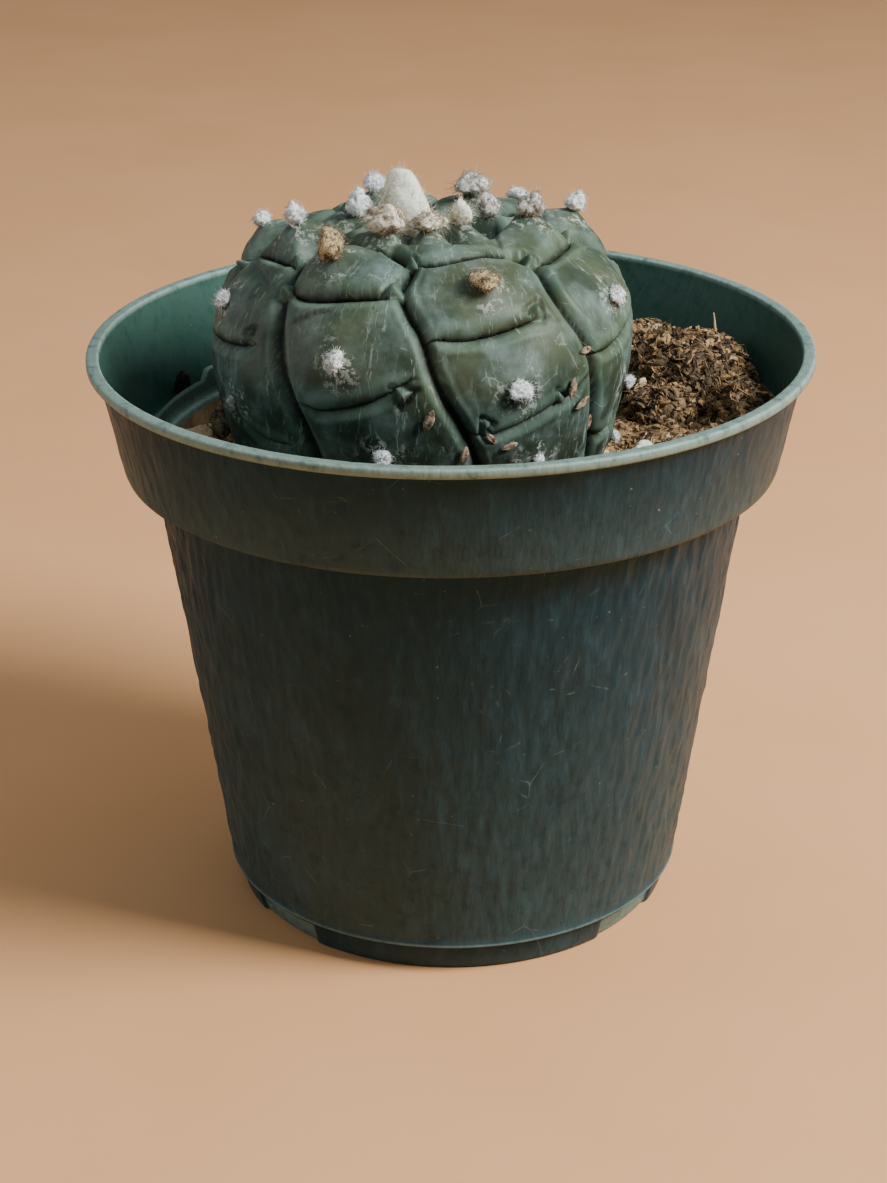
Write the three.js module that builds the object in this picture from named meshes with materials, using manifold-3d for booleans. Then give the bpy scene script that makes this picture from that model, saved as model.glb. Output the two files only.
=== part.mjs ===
// A round, ribbed cactus growing in a plastic nursery pot.
// Millimetres, +Z up. The origin is the centre of the pot's foot, on the surface it stands on.
import * as THREE from "three";
import { mergeVertices } from "three/addons/utils/BufferGeometryUtils.js";
import Module from "manifold-3d";

const wasm = await Module();
wasm.setup();

// ---------------------------------------------------------------- driving dimensions

const POT_HEIGHT = 88.5;
const RIM_RADIUS = 54; // outside of the lip
const RIM_WIDTH = 1.9; // flat top of the lip
const LIP_DEPTH = 1.5;
const BAND_HEIGHT = 17.6; // the deep collar below the lip
const BAND_TOP_RADIUS = 52.4;
const BAND_FOOT_RADIUS = 49.5;
const BODY_TOP_RADIUS = 45;
const BODY_FOOT_RADIUS = 35.8;
const WALL = 1.3;
const LEDGE_THICKNESS = 1.1; // the step inside, where the collar meets the body
const RING_HEIGHT = 4.6; // the smooth foot ring under the body
const RING_RADIUS = 34.2;
const FLOOR_UNDERSIDE = 3;
const FLOOR_THICKNESS = 1.4;
const POT_SIDES = 72;

const LUG_HEIGHT = 4; // stacking lugs: thin upright ribs that stand on the ledge
const LUG_SETBACK = 1.6; // from the ledge's inner edge
const LUG_THICKNESS = 1.1;
const LUG_SPAN = 34; // degrees
const LUG_SLANT = 3; // degrees each end leans in by, from foot to top
const LUG_TURNS = [45, 135, 225, 315];

const NOTCH_HEIGHT = 3.8; // shallow notches in the foot ring
const NOTCH_DEPTH = 0.6;
const NOTCH_SPAN = 22; // degrees
const NOTCH_TURNS = [-139, -38, 41, 142];
const WEEP_HOLE = 0.75; // radius of the small hole at one end of each notch
const WEEP_HEIGHT = 2.5;
const WEEP_TURNS = [-147.5, -29.5, 32.5, 150.5];
const DRAIN_RADIUS = 25.5; // the drain holes' circle
const DRAIN_HOLE = 3.2;

const GAP = 0.3; // clearance between pieces that touch
const STEM_CENTRE = new THREE.Vector2(-3.6, -5);
const BAND_FOOT_Z = POT_HEIGHT - BAND_HEIGHT;
const LEDGE_Z = BAND_FOOT_Z + LEDGE_THICKNESS;
const INNER_BODY_TOP = BODY_TOP_RADIUS - WALL;
const INNER_BODY_FOOT = BODY_FOOT_RADIUS - WALL;
const FLOOR_Z = FLOOR_UNDERSIDE + FLOOR_THICKNESS;

// ---------------------------------------------------------------- colours

const finish = (color, roughness) => new THREE.MeshStandardMaterial({ color, roughness, metalness: 0 });
const POT_PLASTIC = finish(0x24362f, 0.5);
const CACTUS_SKIN = finish(0x52685a, 0.62);
const WOOL = finish(0xdcd8cb, 0.95);
const OLD_WOOL = finish(0xa08a62, 0.95);
const PEAT = finish(0x5d4229, 0.95);
const PERLITE = finish(0xe4e2dc, 0.9);
const HUSK = finish(0x8a6644, 0.8);

// ---------------------------------------------------------------- solids

const radians = THREE.MathUtils.degToRad;
const UP = new THREE.Vector3(0, 0, 1);

function solidOf(geometry) {
  const bare = geometry.index ? geometry.toNonIndexed() : geometry.clone();
  bare.deleteAttribute("normal");
  bare.deleteAttribute("uv");
  const merged = mergeVertices(bare, 1e-3);
  return new wasm.Manifold(
    new wasm.Mesh({
      numProp: 3,
      vertProperties: new Float32Array(merged.attributes.position.array),
      triVerts: new Uint32Array(merged.index.array),
    }),
  );
}

function geometryOf(solid) {
  const mesh = solid.getMesh();
  const geometry = new THREE.BufferGeometry();
  geometry.setAttribute("position", new THREE.BufferAttribute(mesh.vertProperties, 3));
  geometry.setIndex(new THREE.BufferAttribute(mesh.triVerts, 1));
  geometry.computeVertexNormals();
  return geometry;
}

// The biggest of a solid's separate bodies.
function mainBody(solid) {
  return solid.decompose().sort((a, b) => b.volume() - a.volume())[0];
}

// A profile of [radius, height] pairs turned round the Z axis. It runs up the outside.
function turned(profile, sides) {
  const points = profile.map(([r, z]) => new THREE.Vector2(r, z));
  return new THREE.LatheGeometry(points, sides).rotateX(Math.PI / 2);
}

// A block whose plan is a sector of a ring.
function ringSector(inner, outer, low, high, middle, span) {
  const [from, to] = [radians(middle - span / 2), radians(middle + span / 2)];
  const plan = new THREE.Shape();
  plan.absarc(0, 0, outer, from, to, false);
  plan.absarc(0, 0, inner, to, from, true);
  plan.closePath();
  const block = new THREE.ExtrudeGeometry(plan, {
    depth: high - low,
    bevelEnabled: false,
    curveSegments: 6,
  });
  return block.translate(0, 0, low);
}

// ---------------------------------------------------------------- pot

// Radius of the inside of the pot at a height.
function innerRadius(z) {
  if (z > LEDGE_Z) {
    const share = (z - LEDGE_Z) / (POT_HEIGHT - LEDGE_Z);
    return THREE.MathUtils.lerp(BAND_FOOT_RADIUS - WALL, RIM_RADIUS - RIM_WIDTH, share);
  }
  const share = (z - FLOOR_Z) / (LEDGE_Z - FLOOR_Z);
  return THREE.MathUtils.lerp(INNER_BODY_FOOT, INNER_BODY_TOP, share);
}

function potSolid() {
  const lipFoot = POT_HEIGHT - LIP_DEPTH;
  let pot = solidOf(
    turned(
      [
        [0, FLOOR_UNDERSIDE],
        [RING_RADIUS - 4.4, FLOOR_UNDERSIDE],
        [RING_RADIUS - 2.8, 0],
        [RING_RADIUS - 0.4, 0],
        [RING_RADIUS, 0.5],
        [BODY_FOOT_RADIUS - 0.5, RING_HEIGHT - 0.1],
        [BODY_FOOT_RADIUS, RING_HEIGHT + 0.3],
        [BODY_TOP_RADIUS, BAND_FOOT_Z],
        [BAND_FOOT_RADIUS - 0.8, BAND_FOOT_Z],
        [BAND_FOOT_RADIUS, BAND_FOOT_Z + 0.8],
        [BAND_TOP_RADIUS, lipFoot],
        [RIM_RADIUS - 0.3, lipFoot],
        [RIM_RADIUS, lipFoot + 0.4],
        [RIM_RADIUS, POT_HEIGHT - 0.4],
        [RIM_RADIUS - 0.4, POT_HEIGHT],
        [RIM_RADIUS - RIM_WIDTH + 0.3, POT_HEIGHT],
        [RIM_RADIUS - RIM_WIDTH, POT_HEIGHT - 0.3],
        [innerRadius(LEDGE_Z + 0.01), LEDGE_Z],
        [INNER_BODY_TOP, LEDGE_Z],
        [INNER_BODY_FOOT + 0.6, FLOOR_Z + 1],
        [INNER_BODY_FOOT - 0.8, FLOOR_Z],
        [0, FLOOR_Z],
      ],
      POT_SIDES,
    ),
  );
  for (const turn of LUG_TURNS) {
    const inner = INNER_BODY_TOP + LUG_SETBACK;
    const top = LEDGE_Z + LUG_HEIGHT;
    const lug = ringSector(inner, inner + LUG_THICKNESS, LEDGE_Z - 0.5, top, turn, LUG_SPAN);
    pot = pot.add(solidOf(slantedEnds(lug, turn)));
  }
  for (const turn of NOTCH_TURNS) {
    const notch = ringSector(RING_RADIUS - NOTCH_DEPTH, RIM_RADIUS, -1, NOTCH_HEIGHT, turn, NOTCH_SPAN);
    const drain = new THREE.CylinderGeometry(DRAIN_HOLE, DRAIN_HOLE, 3 * FLOOR_THICKNESS, 20);
    drain.rotateX(Math.PI / 2);
    drain.translate(
      DRAIN_RADIUS * Math.cos(radians(turn)),
      DRAIN_RADIUS * Math.sin(radians(turn)),
      FLOOR_Z - FLOOR_THICKNESS / 2,
    );
    pot = pot.subtract(solidOf(notch)).subtract(solidOf(drain));
  }
  for (const turn of WEEP_TURNS) {
    const weep = new THREE.CylinderGeometry(WEEP_HOLE, WEEP_HOLE, 8, 12);
    weep.rotateZ(Math.PI / 2).translate(RING_RADIUS - 2, 0, WEEP_HEIGHT).rotateZ(radians(turn));
    pot = pot.subtract(solidOf(weep));
  }
  return pot;
}

// Leans both ends of a lug in towards its middle, from foot to top.
function slantedEnds(lug, middle) {
  const p = lug.attributes.position;
  for (let i = 0; i < p.count; i++) {
    const v = new THREE.Vector3().fromBufferAttribute(p, i).applyAxisAngle(UP, -radians(middle));
    const share = Math.atan2(v.y, v.x) / radians(LUG_SPAN / 2);
    const rise = THREE.MathUtils.clamp((v.z - LEDGE_Z) / LUG_HEIGHT, 0, 1);
    v.applyAxisAngle(UP, radians(middle - share * rise * LUG_SLANT));
    p.setXYZ(i, v.x, v.y, v.z);
  }
  return lug;
}

// The space inside the pot, kept GAP clear of its wall, ledge, lugs and floor.
function interiorSolid() {
  let space = solidOf(
    turned(
      [
        [0, FLOOR_Z + GAP],
        [INNER_BODY_FOOT - 1.2, FLOOR_Z + GAP],
        [INNER_BODY_FOOT + 0.1, FLOOR_Z + 1.4],
        [INNER_BODY_TOP - GAP, LEDGE_Z + GAP],
        [innerRadius(LEDGE_Z + 0.01) - GAP, LEDGE_Z + GAP],
        [innerRadius(POT_HEIGHT) - GAP, POT_HEIGHT],
        [0, POT_HEIGHT],
      ],
      POT_SIDES,
    ),
  );
  for (const turn of LUG_TURNS) {
    const [inner, top] = [INNER_BODY_TOP - GAP, LEDGE_Z + LUG_HEIGHT + GAP];
    const around = ringSector(inner, RIM_RADIUS, LEDGE_Z - GAP, top, turn, LUG_SPAN + 2);
    space = space.subtract(solidOf(around));
  }
  return space;
}

// ---------------------------------------------------------------- cactus

// Half section of the stem and its taproot before the tubercles swell: [radius, height above the rim].
const STEM_SECTION = new THREE.SplineCurve(
  [
    [0, 16.6],
    [7, 17.3],
    [15, 17],
    [21.5, 14.9],
    [26.3, 11.2],
    [28.9, 6.2],
    [29.5, 1],
    [28.6, -5],
    [27, -11],
    [24.6, -17],
    [20.5, -23],
    [14.5, -29],
    [9.5, -37],
    [5.5, -48],
    [2, -58],
    [0, -60],
  ].map(([r, z]) => new THREE.Vector2(r, z)),
);
const STEM_TURNS = 72; // mesh steps round the stem
const STEM_STEPS = 46; // and down its section
const FOOT_DRAW = 0.07;
const SWELL = 2.1; // how far a tubercle stands above the grooves' floor
const CREASE_SHARE = 0.55; // depth of a crease within a rib, as a share of a groove between ribs
const GROOVE_WIDTH = 2.1;
const NIPPLE = 1.3; // extra height under a woolly areole near the crown

// Each rib's tubercles, crown outwards: [turn in degrees, distance from the crown along the skin].
const RIBS = [
  { name: "front_left", tubercles: [[-119, 11], [-125, 20.3], [-112.5, 33], [-101, 44.7]] },
  { name: "front_right", tubercles: [[-87, 9.5], [-71, 23.4], [-66, 36.5], [-59, 46.8]] },
  { name: "right_front", tubercles: [[-20, 15], [-23, 29.5], [-18, 41.2], [-15, 50.2]] },
  { name: "right_back", tubercles: [[-12, 9], [13, 20.5], [28, 34.5], [33, 46]] },
  { name: "back_right", tubercles: [[52, 11], [58, 24.5], [66, 36.5], [71, 48]] },
  { name: "back_left", tubercles: [[128, 12], [106, 23.5], [111, 35], [117, 46.5]] },
  { name: "left_back", tubercles: [[180, 9.5], [171, 22.5], [159, 36], [161, 48]] },
  { name: "left_front", tubercles: [[-161, 18], [-163, 30.5], [-148, 41.5]] },
];
const CROWN = { turn: 172, along: 3 };

const STEM_LENGTH = STEM_SECTION.getLength();

// The stem draws in more towards its foot on its right side than all round.
function girthAt(turn, along) {
  const side = Math.max(Math.cos(radians(turn + 5)), 0) ** 2;
  return 1 - FOOT_DRAW * side * THREE.MathUtils.smoothstep(along, 24, 46);
}

// A point on the bare section, swept to a turn about the stem's own axis.
function onStem(turn, along) {
  const p = STEM_SECTION.getPointAt(Math.min(along / STEM_LENGTH, 1));
  p.x *= girthAt(turn, along);
  const a = radians(turn);
  return new THREE.Vector3(
    STEM_CENTRE.x + p.x * Math.cos(a),
    STEM_CENTRE.y + p.x * Math.sin(a),
    POT_HEIGHT + p.y,
  );
}

function stemNormal(turn, along) {
  const t = STEM_SECTION.getTangentAt(Math.min(along / STEM_LENGTH, 1));
  const a = radians(turn);
  return new THREE.Vector3(-t.y * Math.cos(a), -t.y * Math.sin(a), t.x).normalize();
}

const TUBERCLES = RIBS.flatMap((rib) =>
  rib.tubercles.map(([turn, along], row) => ({
    rib: rib.name,
    row,
    turn,
    along,
    middle: onStem(turn, along),
  })),
);

// How far the skin stands off the bare section: pillows between grooves, a nipple under each crown areole.
function swellAt(point, along) {
  const near = TUBERCLES.map((t) => ({ t, d: t.middle.distanceTo(point) })).sort((a, b) => a.d - b.d);
  const own = near[0];
  let pillow = 1;
  for (const other of near.slice(1, 6)) {
    const apart = own.t.middle.distanceTo(other.t.middle);
    const edge = (other.d ** 2 - own.d ** 2) / (2 * apart);
    const depth = own.t.rib === other.t.rib ? CREASE_SHARE : 1;
    pillow = Math.min(pillow, 1 - depth * Math.exp(-edge / GROOVE_WIDTH));
  }
  const nipple = own.t.along < 27 ? NIPPLE * Math.exp(-((own.d / 3.2) ** 2)) : 0;
  const underSoil = THREE.MathUtils.smoothstep(along, 56, 64);
  return (SWELL * pillow + nipple) * (1 - underSoil);
}

function skinPoint(turn, along, extra = 0) {
  const bare = onStem(turn, along);
  return bare.addScaledVector(stemNormal(turn, along), swellAt(bare, along) + extra);
}

// The closed skin from the crown to the tip of the root, grown outwards by extra.
function stemGeometry(extra) {
  const positions = [];
  const faces = [];
  const crown = skinPoint(0, 0.01, extra);
  positions.push(STEM_CENTRE.x, STEM_CENTRE.y, crown.z);
  for (let i = 1; i < STEM_STEPS; i++) {
    for (let j = 0; j < STEM_TURNS; j++) {
      positions.push(...skinPoint((j * 360) / STEM_TURNS, (i * STEM_LENGTH) / STEM_STEPS, extra));
    }
  }
  positions.push(...onStem(0, STEM_LENGTH).add(new THREE.Vector3(0, 0, -extra)));
  const last = 1 + (STEM_STEPS - 1) * STEM_TURNS;
  const at = (i, j) => 1 + (i - 1) * STEM_TURNS + (j % STEM_TURNS);
  for (let j = 0; j < STEM_TURNS; j++) {
    faces.push(0, at(1, j), at(1, j + 1));
    for (let i = 1; i < STEM_STEPS - 1; i++) {
      faces.push(at(i, j), at(i + 1, j), at(i + 1, j + 1));
      faces.push(at(i, j), at(i + 1, j + 1), at(i, j + 1));
    }
    faces.push(at(STEM_STEPS - 1, j), last, at(STEM_STEPS - 1, j + 1));
  }
  const geometry = new THREE.BufferGeometry();
  geometry.setAttribute("position", new THREE.Float32BufferAttribute(positions, 3));
  geometry.setIndex(faces);
  return geometry;
}

// ---------------------------------------------------------------- wool, grains and husks

// A lumpy closed pebble: a sphere of the given half sizes with a few waves on it.
function pebble(halfSizes, detail, phase) {
  const geometry = mergeVertices(bareIcosahedron(detail), 1e-4);
  const p = geometry.attributes.position;
  for (let i = 0; i < p.count; i++) {
    const v = new THREE.Vector3().fromBufferAttribute(p, i).normalize();
    const wave = Math.sin(3.1 * v.x + phase) * Math.sin(2.7 * v.y + 2 * phase) * Math.cos(2.3 * v.z);
    v.multiplyScalar(1 + 0.12 * wave).multiply(halfSizes);
    p.setXYZ(i, v.x, v.y, v.z);
  }
  return geometry;
}

function bareIcosahedron(detail) {
  const geometry = new THREE.IcosahedronGeometry(1, detail);
  geometry.deleteAttribute("normal");
  geometry.deleteAttribute("uv");
  return geometry;
}

// Width and height of the wool on each tubercle, by rib, crown outwards.
const WOOL_SIZES = {
  front_left: [[5, 3.6], [3.6, 5], [2.7, 2.6], [2.3, 1.9]],
  front_right: [[4.4, 3.2], [3.7, 2.6], [3, 2.2], [1.7, 1.4]],
  right_front: [[3.5, 3.6], [2.9, 2.4], [1.9, 1.8], [2, 1.7]],
  right_back: [[3.2, 3.4], [2.8, 2.8], [2.4, 2], [1.8, 1.5]],
  back_right: [[3.7, 2.9], [3.2, 2.8], [2.5, 2], [1.8, 1.5]],
  back_left: [[3.4, 3.6], [3.4, 3.2], [2.6, 2.2], [2, 1.6]],
  left_back: [[3.4, 4.2], [2.9, 2.7], [2.3, 2], [1.7, 1.5]],
  left_front: [[3.3, 3.9], [2.8, 2.5], [2, 1.4]],
};
const OLD_TUFTS = ["front_left_1", "front_left_2", "front_right_2"]; // weathered brown
const SIDE_TUFT = { turn: -50, along: 8, size: [2.6, 4.4] }; // the crown's second tuft
const CROWN_TUFT = new THREE.Vector3(3.7, 3.3, 4.9); // half sizes of the new wool at the crown
const CROWN_TUFT_LIFT = 5.9;

// A tuft sunk a little into its tubercle's top, before it is cut clear of the skin.
function tuftGeometry(tubercle, [width, height]) {
  const { turn, along, middle } = tubercle;
  const half = new THREE.Vector3(width / 2, width / 2, height / 2);
  const out = stemNormal(turn, along);
  const up = new THREE.Vector3(0, 0, 1);
  const lean = out.clone().lerp(up, 0.25).normalize();
  const centre = middle.clone().addScaledVector(out, swellAt(middle, along) + 0.7 * half.z);
  const geometry = pebble(half, 1, turn);
  geometry.applyQuaternion(new THREE.Quaternion().setFromUnitVectors(up, lean));
  return geometry.translate(centre.x, centre.y, centre.z);
}

// ---------------------------------------------------------------- potting mix

const SOIL_MIDDLE_Z = POT_HEIGHT - 16;
const SOIL_GRID = 24;

// Height of the mix at a plan position: low at the left, banked up to the right, hollowed round the stem.
function soilHeight(x, y) {
  const bank = 3.4 * Math.tanh(x / 22);
  const lumps = 0.7 * Math.sin(0.31 * x + 0.5) * Math.sin(0.27 * y + 1.2) + 0.4 * Math.sin(0.6 * x - 0.5 * y);
  const fromStem = Math.hypot(x - STEM_CENTRE.x, y - STEM_CENTRE.y);
  const hollow = 2.4 * (1 - THREE.MathUtils.smoothstep(fromStem, 26, 38));
  return SOIL_MIDDLE_Z + bank + lumps - hollow;
}

// A square block from the pot's foot up to the mix's surface, raised by offset.
function soilBlock(offset) {
  const size = 2 * RIM_RADIUS;
  const geometry = new THREE.BoxGeometry(size, size, 1, SOIL_GRID, SOIL_GRID, 1);
  const p = geometry.attributes.position;
  for (let i = 0; i < p.count; i++) {
    p.setZ(i, p.getZ(i) > 0 ? soilHeight(p.getX(i), p.getY(i)) + offset : 0);
  }
  return geometry;
}

// The clod's blobs: [x, y, top above the mix's middle, half width, half depth].
const CLOD_BLOBS = [
  [38, 14, 12.2, 11, 11],
  [30, 22, 11.2, 10, 8],
  [44, 2, 8, 6.5, 8],
  [33, 4, 7.2, 7, 6],
];

function clodSolid() {
  let clod = null;
  CLOD_BLOBS.forEach(([x, y, top, halfWidth, halfDepth], i) => {
    const blob = pebble(new THREE.Vector3(halfWidth, halfDepth, top), 2, 1.7 * i);
    blob.translate(x, y, SOIL_MIDDLE_Z);
    const solid = solidOf(blob);
    clod = clod ? clod.add(solid) : solid;
  });
  return clod;
}

// Loose grains on the mix: [x, y, half size].
const GRAINS = [
  [28.4, -12.4, 1.3],
  [27.6, -15.6, 1.5],
  [28.6, -19, 1.4],
  [25.4, -21.6, 1.6],
  [-37, -12, 1.2],
  [-28, 24, 1.3],
  [6, 34, 1.4],
];

// Scraps lying about the mix, as pebbles: [name, x, y, z, half sizes, turns about X, Y and Z in degrees].
const SCRAPS = [
  ["bark_flake", -38.8, -3.2, 75, [3.1, 1.7, 0.4], [8, -4, -12]],
  ["leaf_scrap", -34.2, -2.4, 76.5, [1.6, 0.5, 3.4], [0, 14, 20]],
  ["dark_crumb", -42.7, 19.6, 74.8, [1.3, 1, 2.3], [0, 22, -30]],
  ["dry_stalk", 41.5, 19.6, 84.4, [0.3, 0.3, 2], [0, -6, 0]],
];

// Dry husks caught in the grooves: [turn, distance along the skin, length, roll].
const HUSKS = [
  [-89, 39.2, 3.4, 70],
  [-80, 44.6, 3, 80],
  [-50, 37.4, 3.2, 75],
  [-45.5, 40, 3, 25],
  [-43, 33.6, 2.4, 5],
  [-73, 42.5, 2.4, 130],
  [-68, 43.8, 2.6, 15],
  [-36, 45, 2.8, 85],
];

function huskGeometry([turn, along, length, roll]) {
  const out = stemNormal(turn, along);
  const bare = onStem(turn, along);
  const centre = bare.clone().addScaledVector(out, swellAt(bare, along) + 0.75);
  const facing = new THREE.Object3D();
  facing.up.set(0, 0, 1);
  facing.position.copy(centre);
  facing.lookAt(centre.clone().add(out));
  facing.rotateZ(radians(roll));
  facing.updateMatrixWorld();
  return pebble(new THREE.Vector3(length / 2, length / 5, 0.35), 1, turn).applyMatrix4(facing.matrixWorld);
}

// ---------------------------------------------------------------- assembly

function named(name, geometry, material) {
  const mesh = new THREE.Mesh(geometry, material);
  mesh.name = name;
  return mesh;
}

function buildPottedCactus() {
  const group = new THREE.Group();
  const interior = interiorSolid();
  const stemRoom = solidOf(stemGeometry(GAP));
  const offSkin = (geometry) => geometryOf(mainBody(solidOf(geometry).subtract(stemRoom)));
  const mix = solidOf(soilBlock(0)).intersect(interior).subtract(stemRoom);
  const clod = clodSolid().intersect(interior).subtract(solidOf(soilBlock(GAP))).subtract(stemRoom);

  group.add(named("nursery_pot", geometryOf(potSolid()), POT_PLASTIC));
  group.add(named("potting_mix", geometryOf(mainBody(mix)), PEAT));
  group.add(named("peat_clod", geometryOf(mainBody(clod)), PEAT));
  group.add(named("cactus_stem", stemGeometry(0), CACTUS_SKIN));

  for (const tubercle of TUBERCLES) {
    const id = `${tubercle.rib}_${tubercle.row + 1}`;
    const tuft = tuftGeometry(tubercle, WOOL_SIZES[tubercle.rib][tubercle.row]);
    group.add(named(`wool_${id}`, offSkin(tuft), OLD_TUFTS.includes(id) ? OLD_WOOL : WOOL));
  }
  const middle = onStem(CROWN.turn, CROWN.along);
  const crown = pebble(CROWN_TUFT, 2, 0.8).translate(middle.x, middle.y, middle.z + CROWN_TUFT_LIFT);
  group.add(named("wool_crown", offSkin(crown), WOOL));
  const side = { ...SIDE_TUFT, middle: onStem(SIDE_TUFT.turn, SIDE_TUFT.along) };
  group.add(named("wool_crown_side", offSkin(tuftGeometry(side, SIDE_TUFT.size)), WOOL));

  GRAINS.forEach(([x, y, half], i) => {
    const grain = pebble(new THREE.Vector3(half, half, 0.85 * half), 1, i);
    grain.translate(x, y, soilHeight(x, y) + half + 2 * GAP);
    group.add(named(`perlite_grain_${i + 1}`, grain, PERLITE));
  });
  for (const [name, x, y, z, half, turns] of SCRAPS) {
    const scrap = pebble(new THREE.Vector3(...half), 1, x);
    scrap.rotateX(radians(turns[0])).rotateY(radians(turns[1])).rotateZ(radians(turns[2])).translate(x, y, z);
    group.add(named(name, offSkin(scrap), name === "dark_crumb" ? PEAT : HUSK));
  }
  HUSKS.forEach((husk, i) => group.add(named(`dry_husk_${i + 1}`, offSkin(huskGeometry(husk)), HUSK)));
  return group;
}

export default buildPottedCactus();
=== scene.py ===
import itertools
import math

import bmesh
import bpy
import numpy as np
from mathutils import Matrix, Vector


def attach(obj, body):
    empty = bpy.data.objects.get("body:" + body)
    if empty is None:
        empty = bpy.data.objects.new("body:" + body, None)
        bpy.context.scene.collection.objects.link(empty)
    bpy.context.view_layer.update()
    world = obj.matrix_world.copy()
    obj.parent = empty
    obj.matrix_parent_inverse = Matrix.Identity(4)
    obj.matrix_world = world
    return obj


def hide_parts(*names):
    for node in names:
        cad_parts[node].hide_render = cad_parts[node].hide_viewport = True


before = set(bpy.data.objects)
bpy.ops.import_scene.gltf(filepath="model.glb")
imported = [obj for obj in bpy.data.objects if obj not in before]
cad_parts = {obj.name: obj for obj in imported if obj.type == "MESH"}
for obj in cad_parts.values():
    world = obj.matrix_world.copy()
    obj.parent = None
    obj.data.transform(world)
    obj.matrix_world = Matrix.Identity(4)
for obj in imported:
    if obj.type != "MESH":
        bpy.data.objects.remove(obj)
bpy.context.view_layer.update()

MM = 0.001  # lengths below are in millimetres, and become metres as a mesh is made

# ---- driving dimensions

POT_HEIGHT = 88.5
RIM_RADIUS = 54.0
RIM_WIDTH = 1.9
LIP_DEPTH = 1.5
BAND_FOOT_Z = 70.9
BAND_TOP_RADIUS = 52.4
BAND_FOOT_RADIUS = 49.5
BODY_TOP_RADIUS = 45.0
BODY_FOOT_RADIUS = 35.8
WALL = 1.3
LEDGE_Z = 72.0
LUG_HEIGHT = 4.0
LUG_TURNS = (45, 135, 225, 315)
LUG_SPAN = 34
LUG_SLANT = 3
LUG_SETBACK = 1.6
LUG_THICKNESS = 1.1
RING_RADIUS = 34.2
RING_HEIGHT = 4.6
FLOOR_UNDERSIDE = 3.0
FLOOR_Z = 4.4
NOTCH_TURNS = (-139, -38, 41, 142)
NOTCH_SPAN = 22
NOTCH_DEPTH = 0.6
NOTCH_HEIGHT = 3.8
WEEP_TURNS = (-147.5, -29.5, 32.5, 150.5)
WEEP_HEIGHT = 2.5
WEEP_RADIUS = 0.75
INNER_TOP = BODY_TOP_RADIUS - WALL
INNER_FOOT = BODY_FOOT_RADIUS - WALL

STEM_X, STEM_Y = -3.6, -5.0
SOIL_Z = POT_HEIGHT - 16
LUG_INNER = INNER_TOP + LUG_SETBACK
LUG_OUTER = LUG_INNER + LUG_THICKNESS
LUG_TOP = LEDGE_Z + LUG_HEIGHT


# ---- numbers and noise

class Noise:
    """Smooth value noise from -1 to 1, the same on every run."""

    TABLE = 4096
    HASH = (73856093, 19349663, 83492791)
    FINER = 0.47  # size of each layer beside the one before it

    def __init__(self, seed):
        self.values = np.random.default_rng(seed).uniform(-1, 1, self.TABLE)

    def __call__(self, points, size):
        p = np.asarray(points, float) / size
        cell = np.floor(p).astype(np.int64)
        f = p - cell
        f = f * f * (3 - 2 * f)
        total = np.zeros(len(p))
        for corner in itertools.product((0, 1), repeat=3):
            at = cell + corner
            key = np.bitwise_xor.reduce(at * self.HASH, axis=1)
            weight = np.prod(np.where(corner, f, 1 - f), axis=1)
            total += weight * self.values[key & (self.TABLE - 1)]
        return total

    def layers(self, points, size, count=3, gain=0.5):
        """Noise with finer and finer noise added to it."""
        total = np.zeros(len(points))
        strength = 1.0
        for _ in range(count):
            total += strength * self(points, size)
            size *= self.FINER
            strength *= gain
        return total


def smoothstep(low, high, x):
    t = np.clip((np.asarray(x, float) - low) / (high - low), 0, 1)
    return t * t * (3 - 2 * t)


def unit(v):
    return v / np.maximum(np.linalg.norm(v, axis=-1, keepdims=True), 1e-9)


def turn_gap(turns, centre):
    """Degrees between each turn and a centre, the short way round."""
    return np.abs((turns - centre + 180) % 360 - 180)


def in_sectors(turns, centres, span, soft):
    """1 inside any of the sectors, 0 outside, with edges this many degrees soft."""
    low, high = (span - soft) / 2, (span + soft) / 2
    return np.max([1 - smoothstep(low, high, turn_gap(turns, c)) for c in centres], axis=0)


def catmull_rom(points, steps=40):
    """A smooth curve through points, and its length up to each sample."""
    p = np.asarray(points, float)
    ends = np.vstack([2 * p[0] - p[1], p, 2 * p[-1] - p[-2]])
    t = np.linspace(0, 1, steps, endpoint=False)[:, None]
    parts = []
    for a, b, c, d in zip(ends, ends[1:], ends[2:], ends[3:]):
        cubic = 2 * b + (c - a) * t + (2 * a - 5 * b + 4 * c - d) * t ** 2
        parts.append(0.5 * (cubic + (3 * b - a - 3 * c + d) * t ** 3))
    curve = np.vstack(parts + [p[-1:]])
    length = np.concatenate([[0], np.cumsum(np.linalg.norm(np.diff(curve, axis=0), axis=1))])
    return curve, length


# ---- meshes

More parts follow.
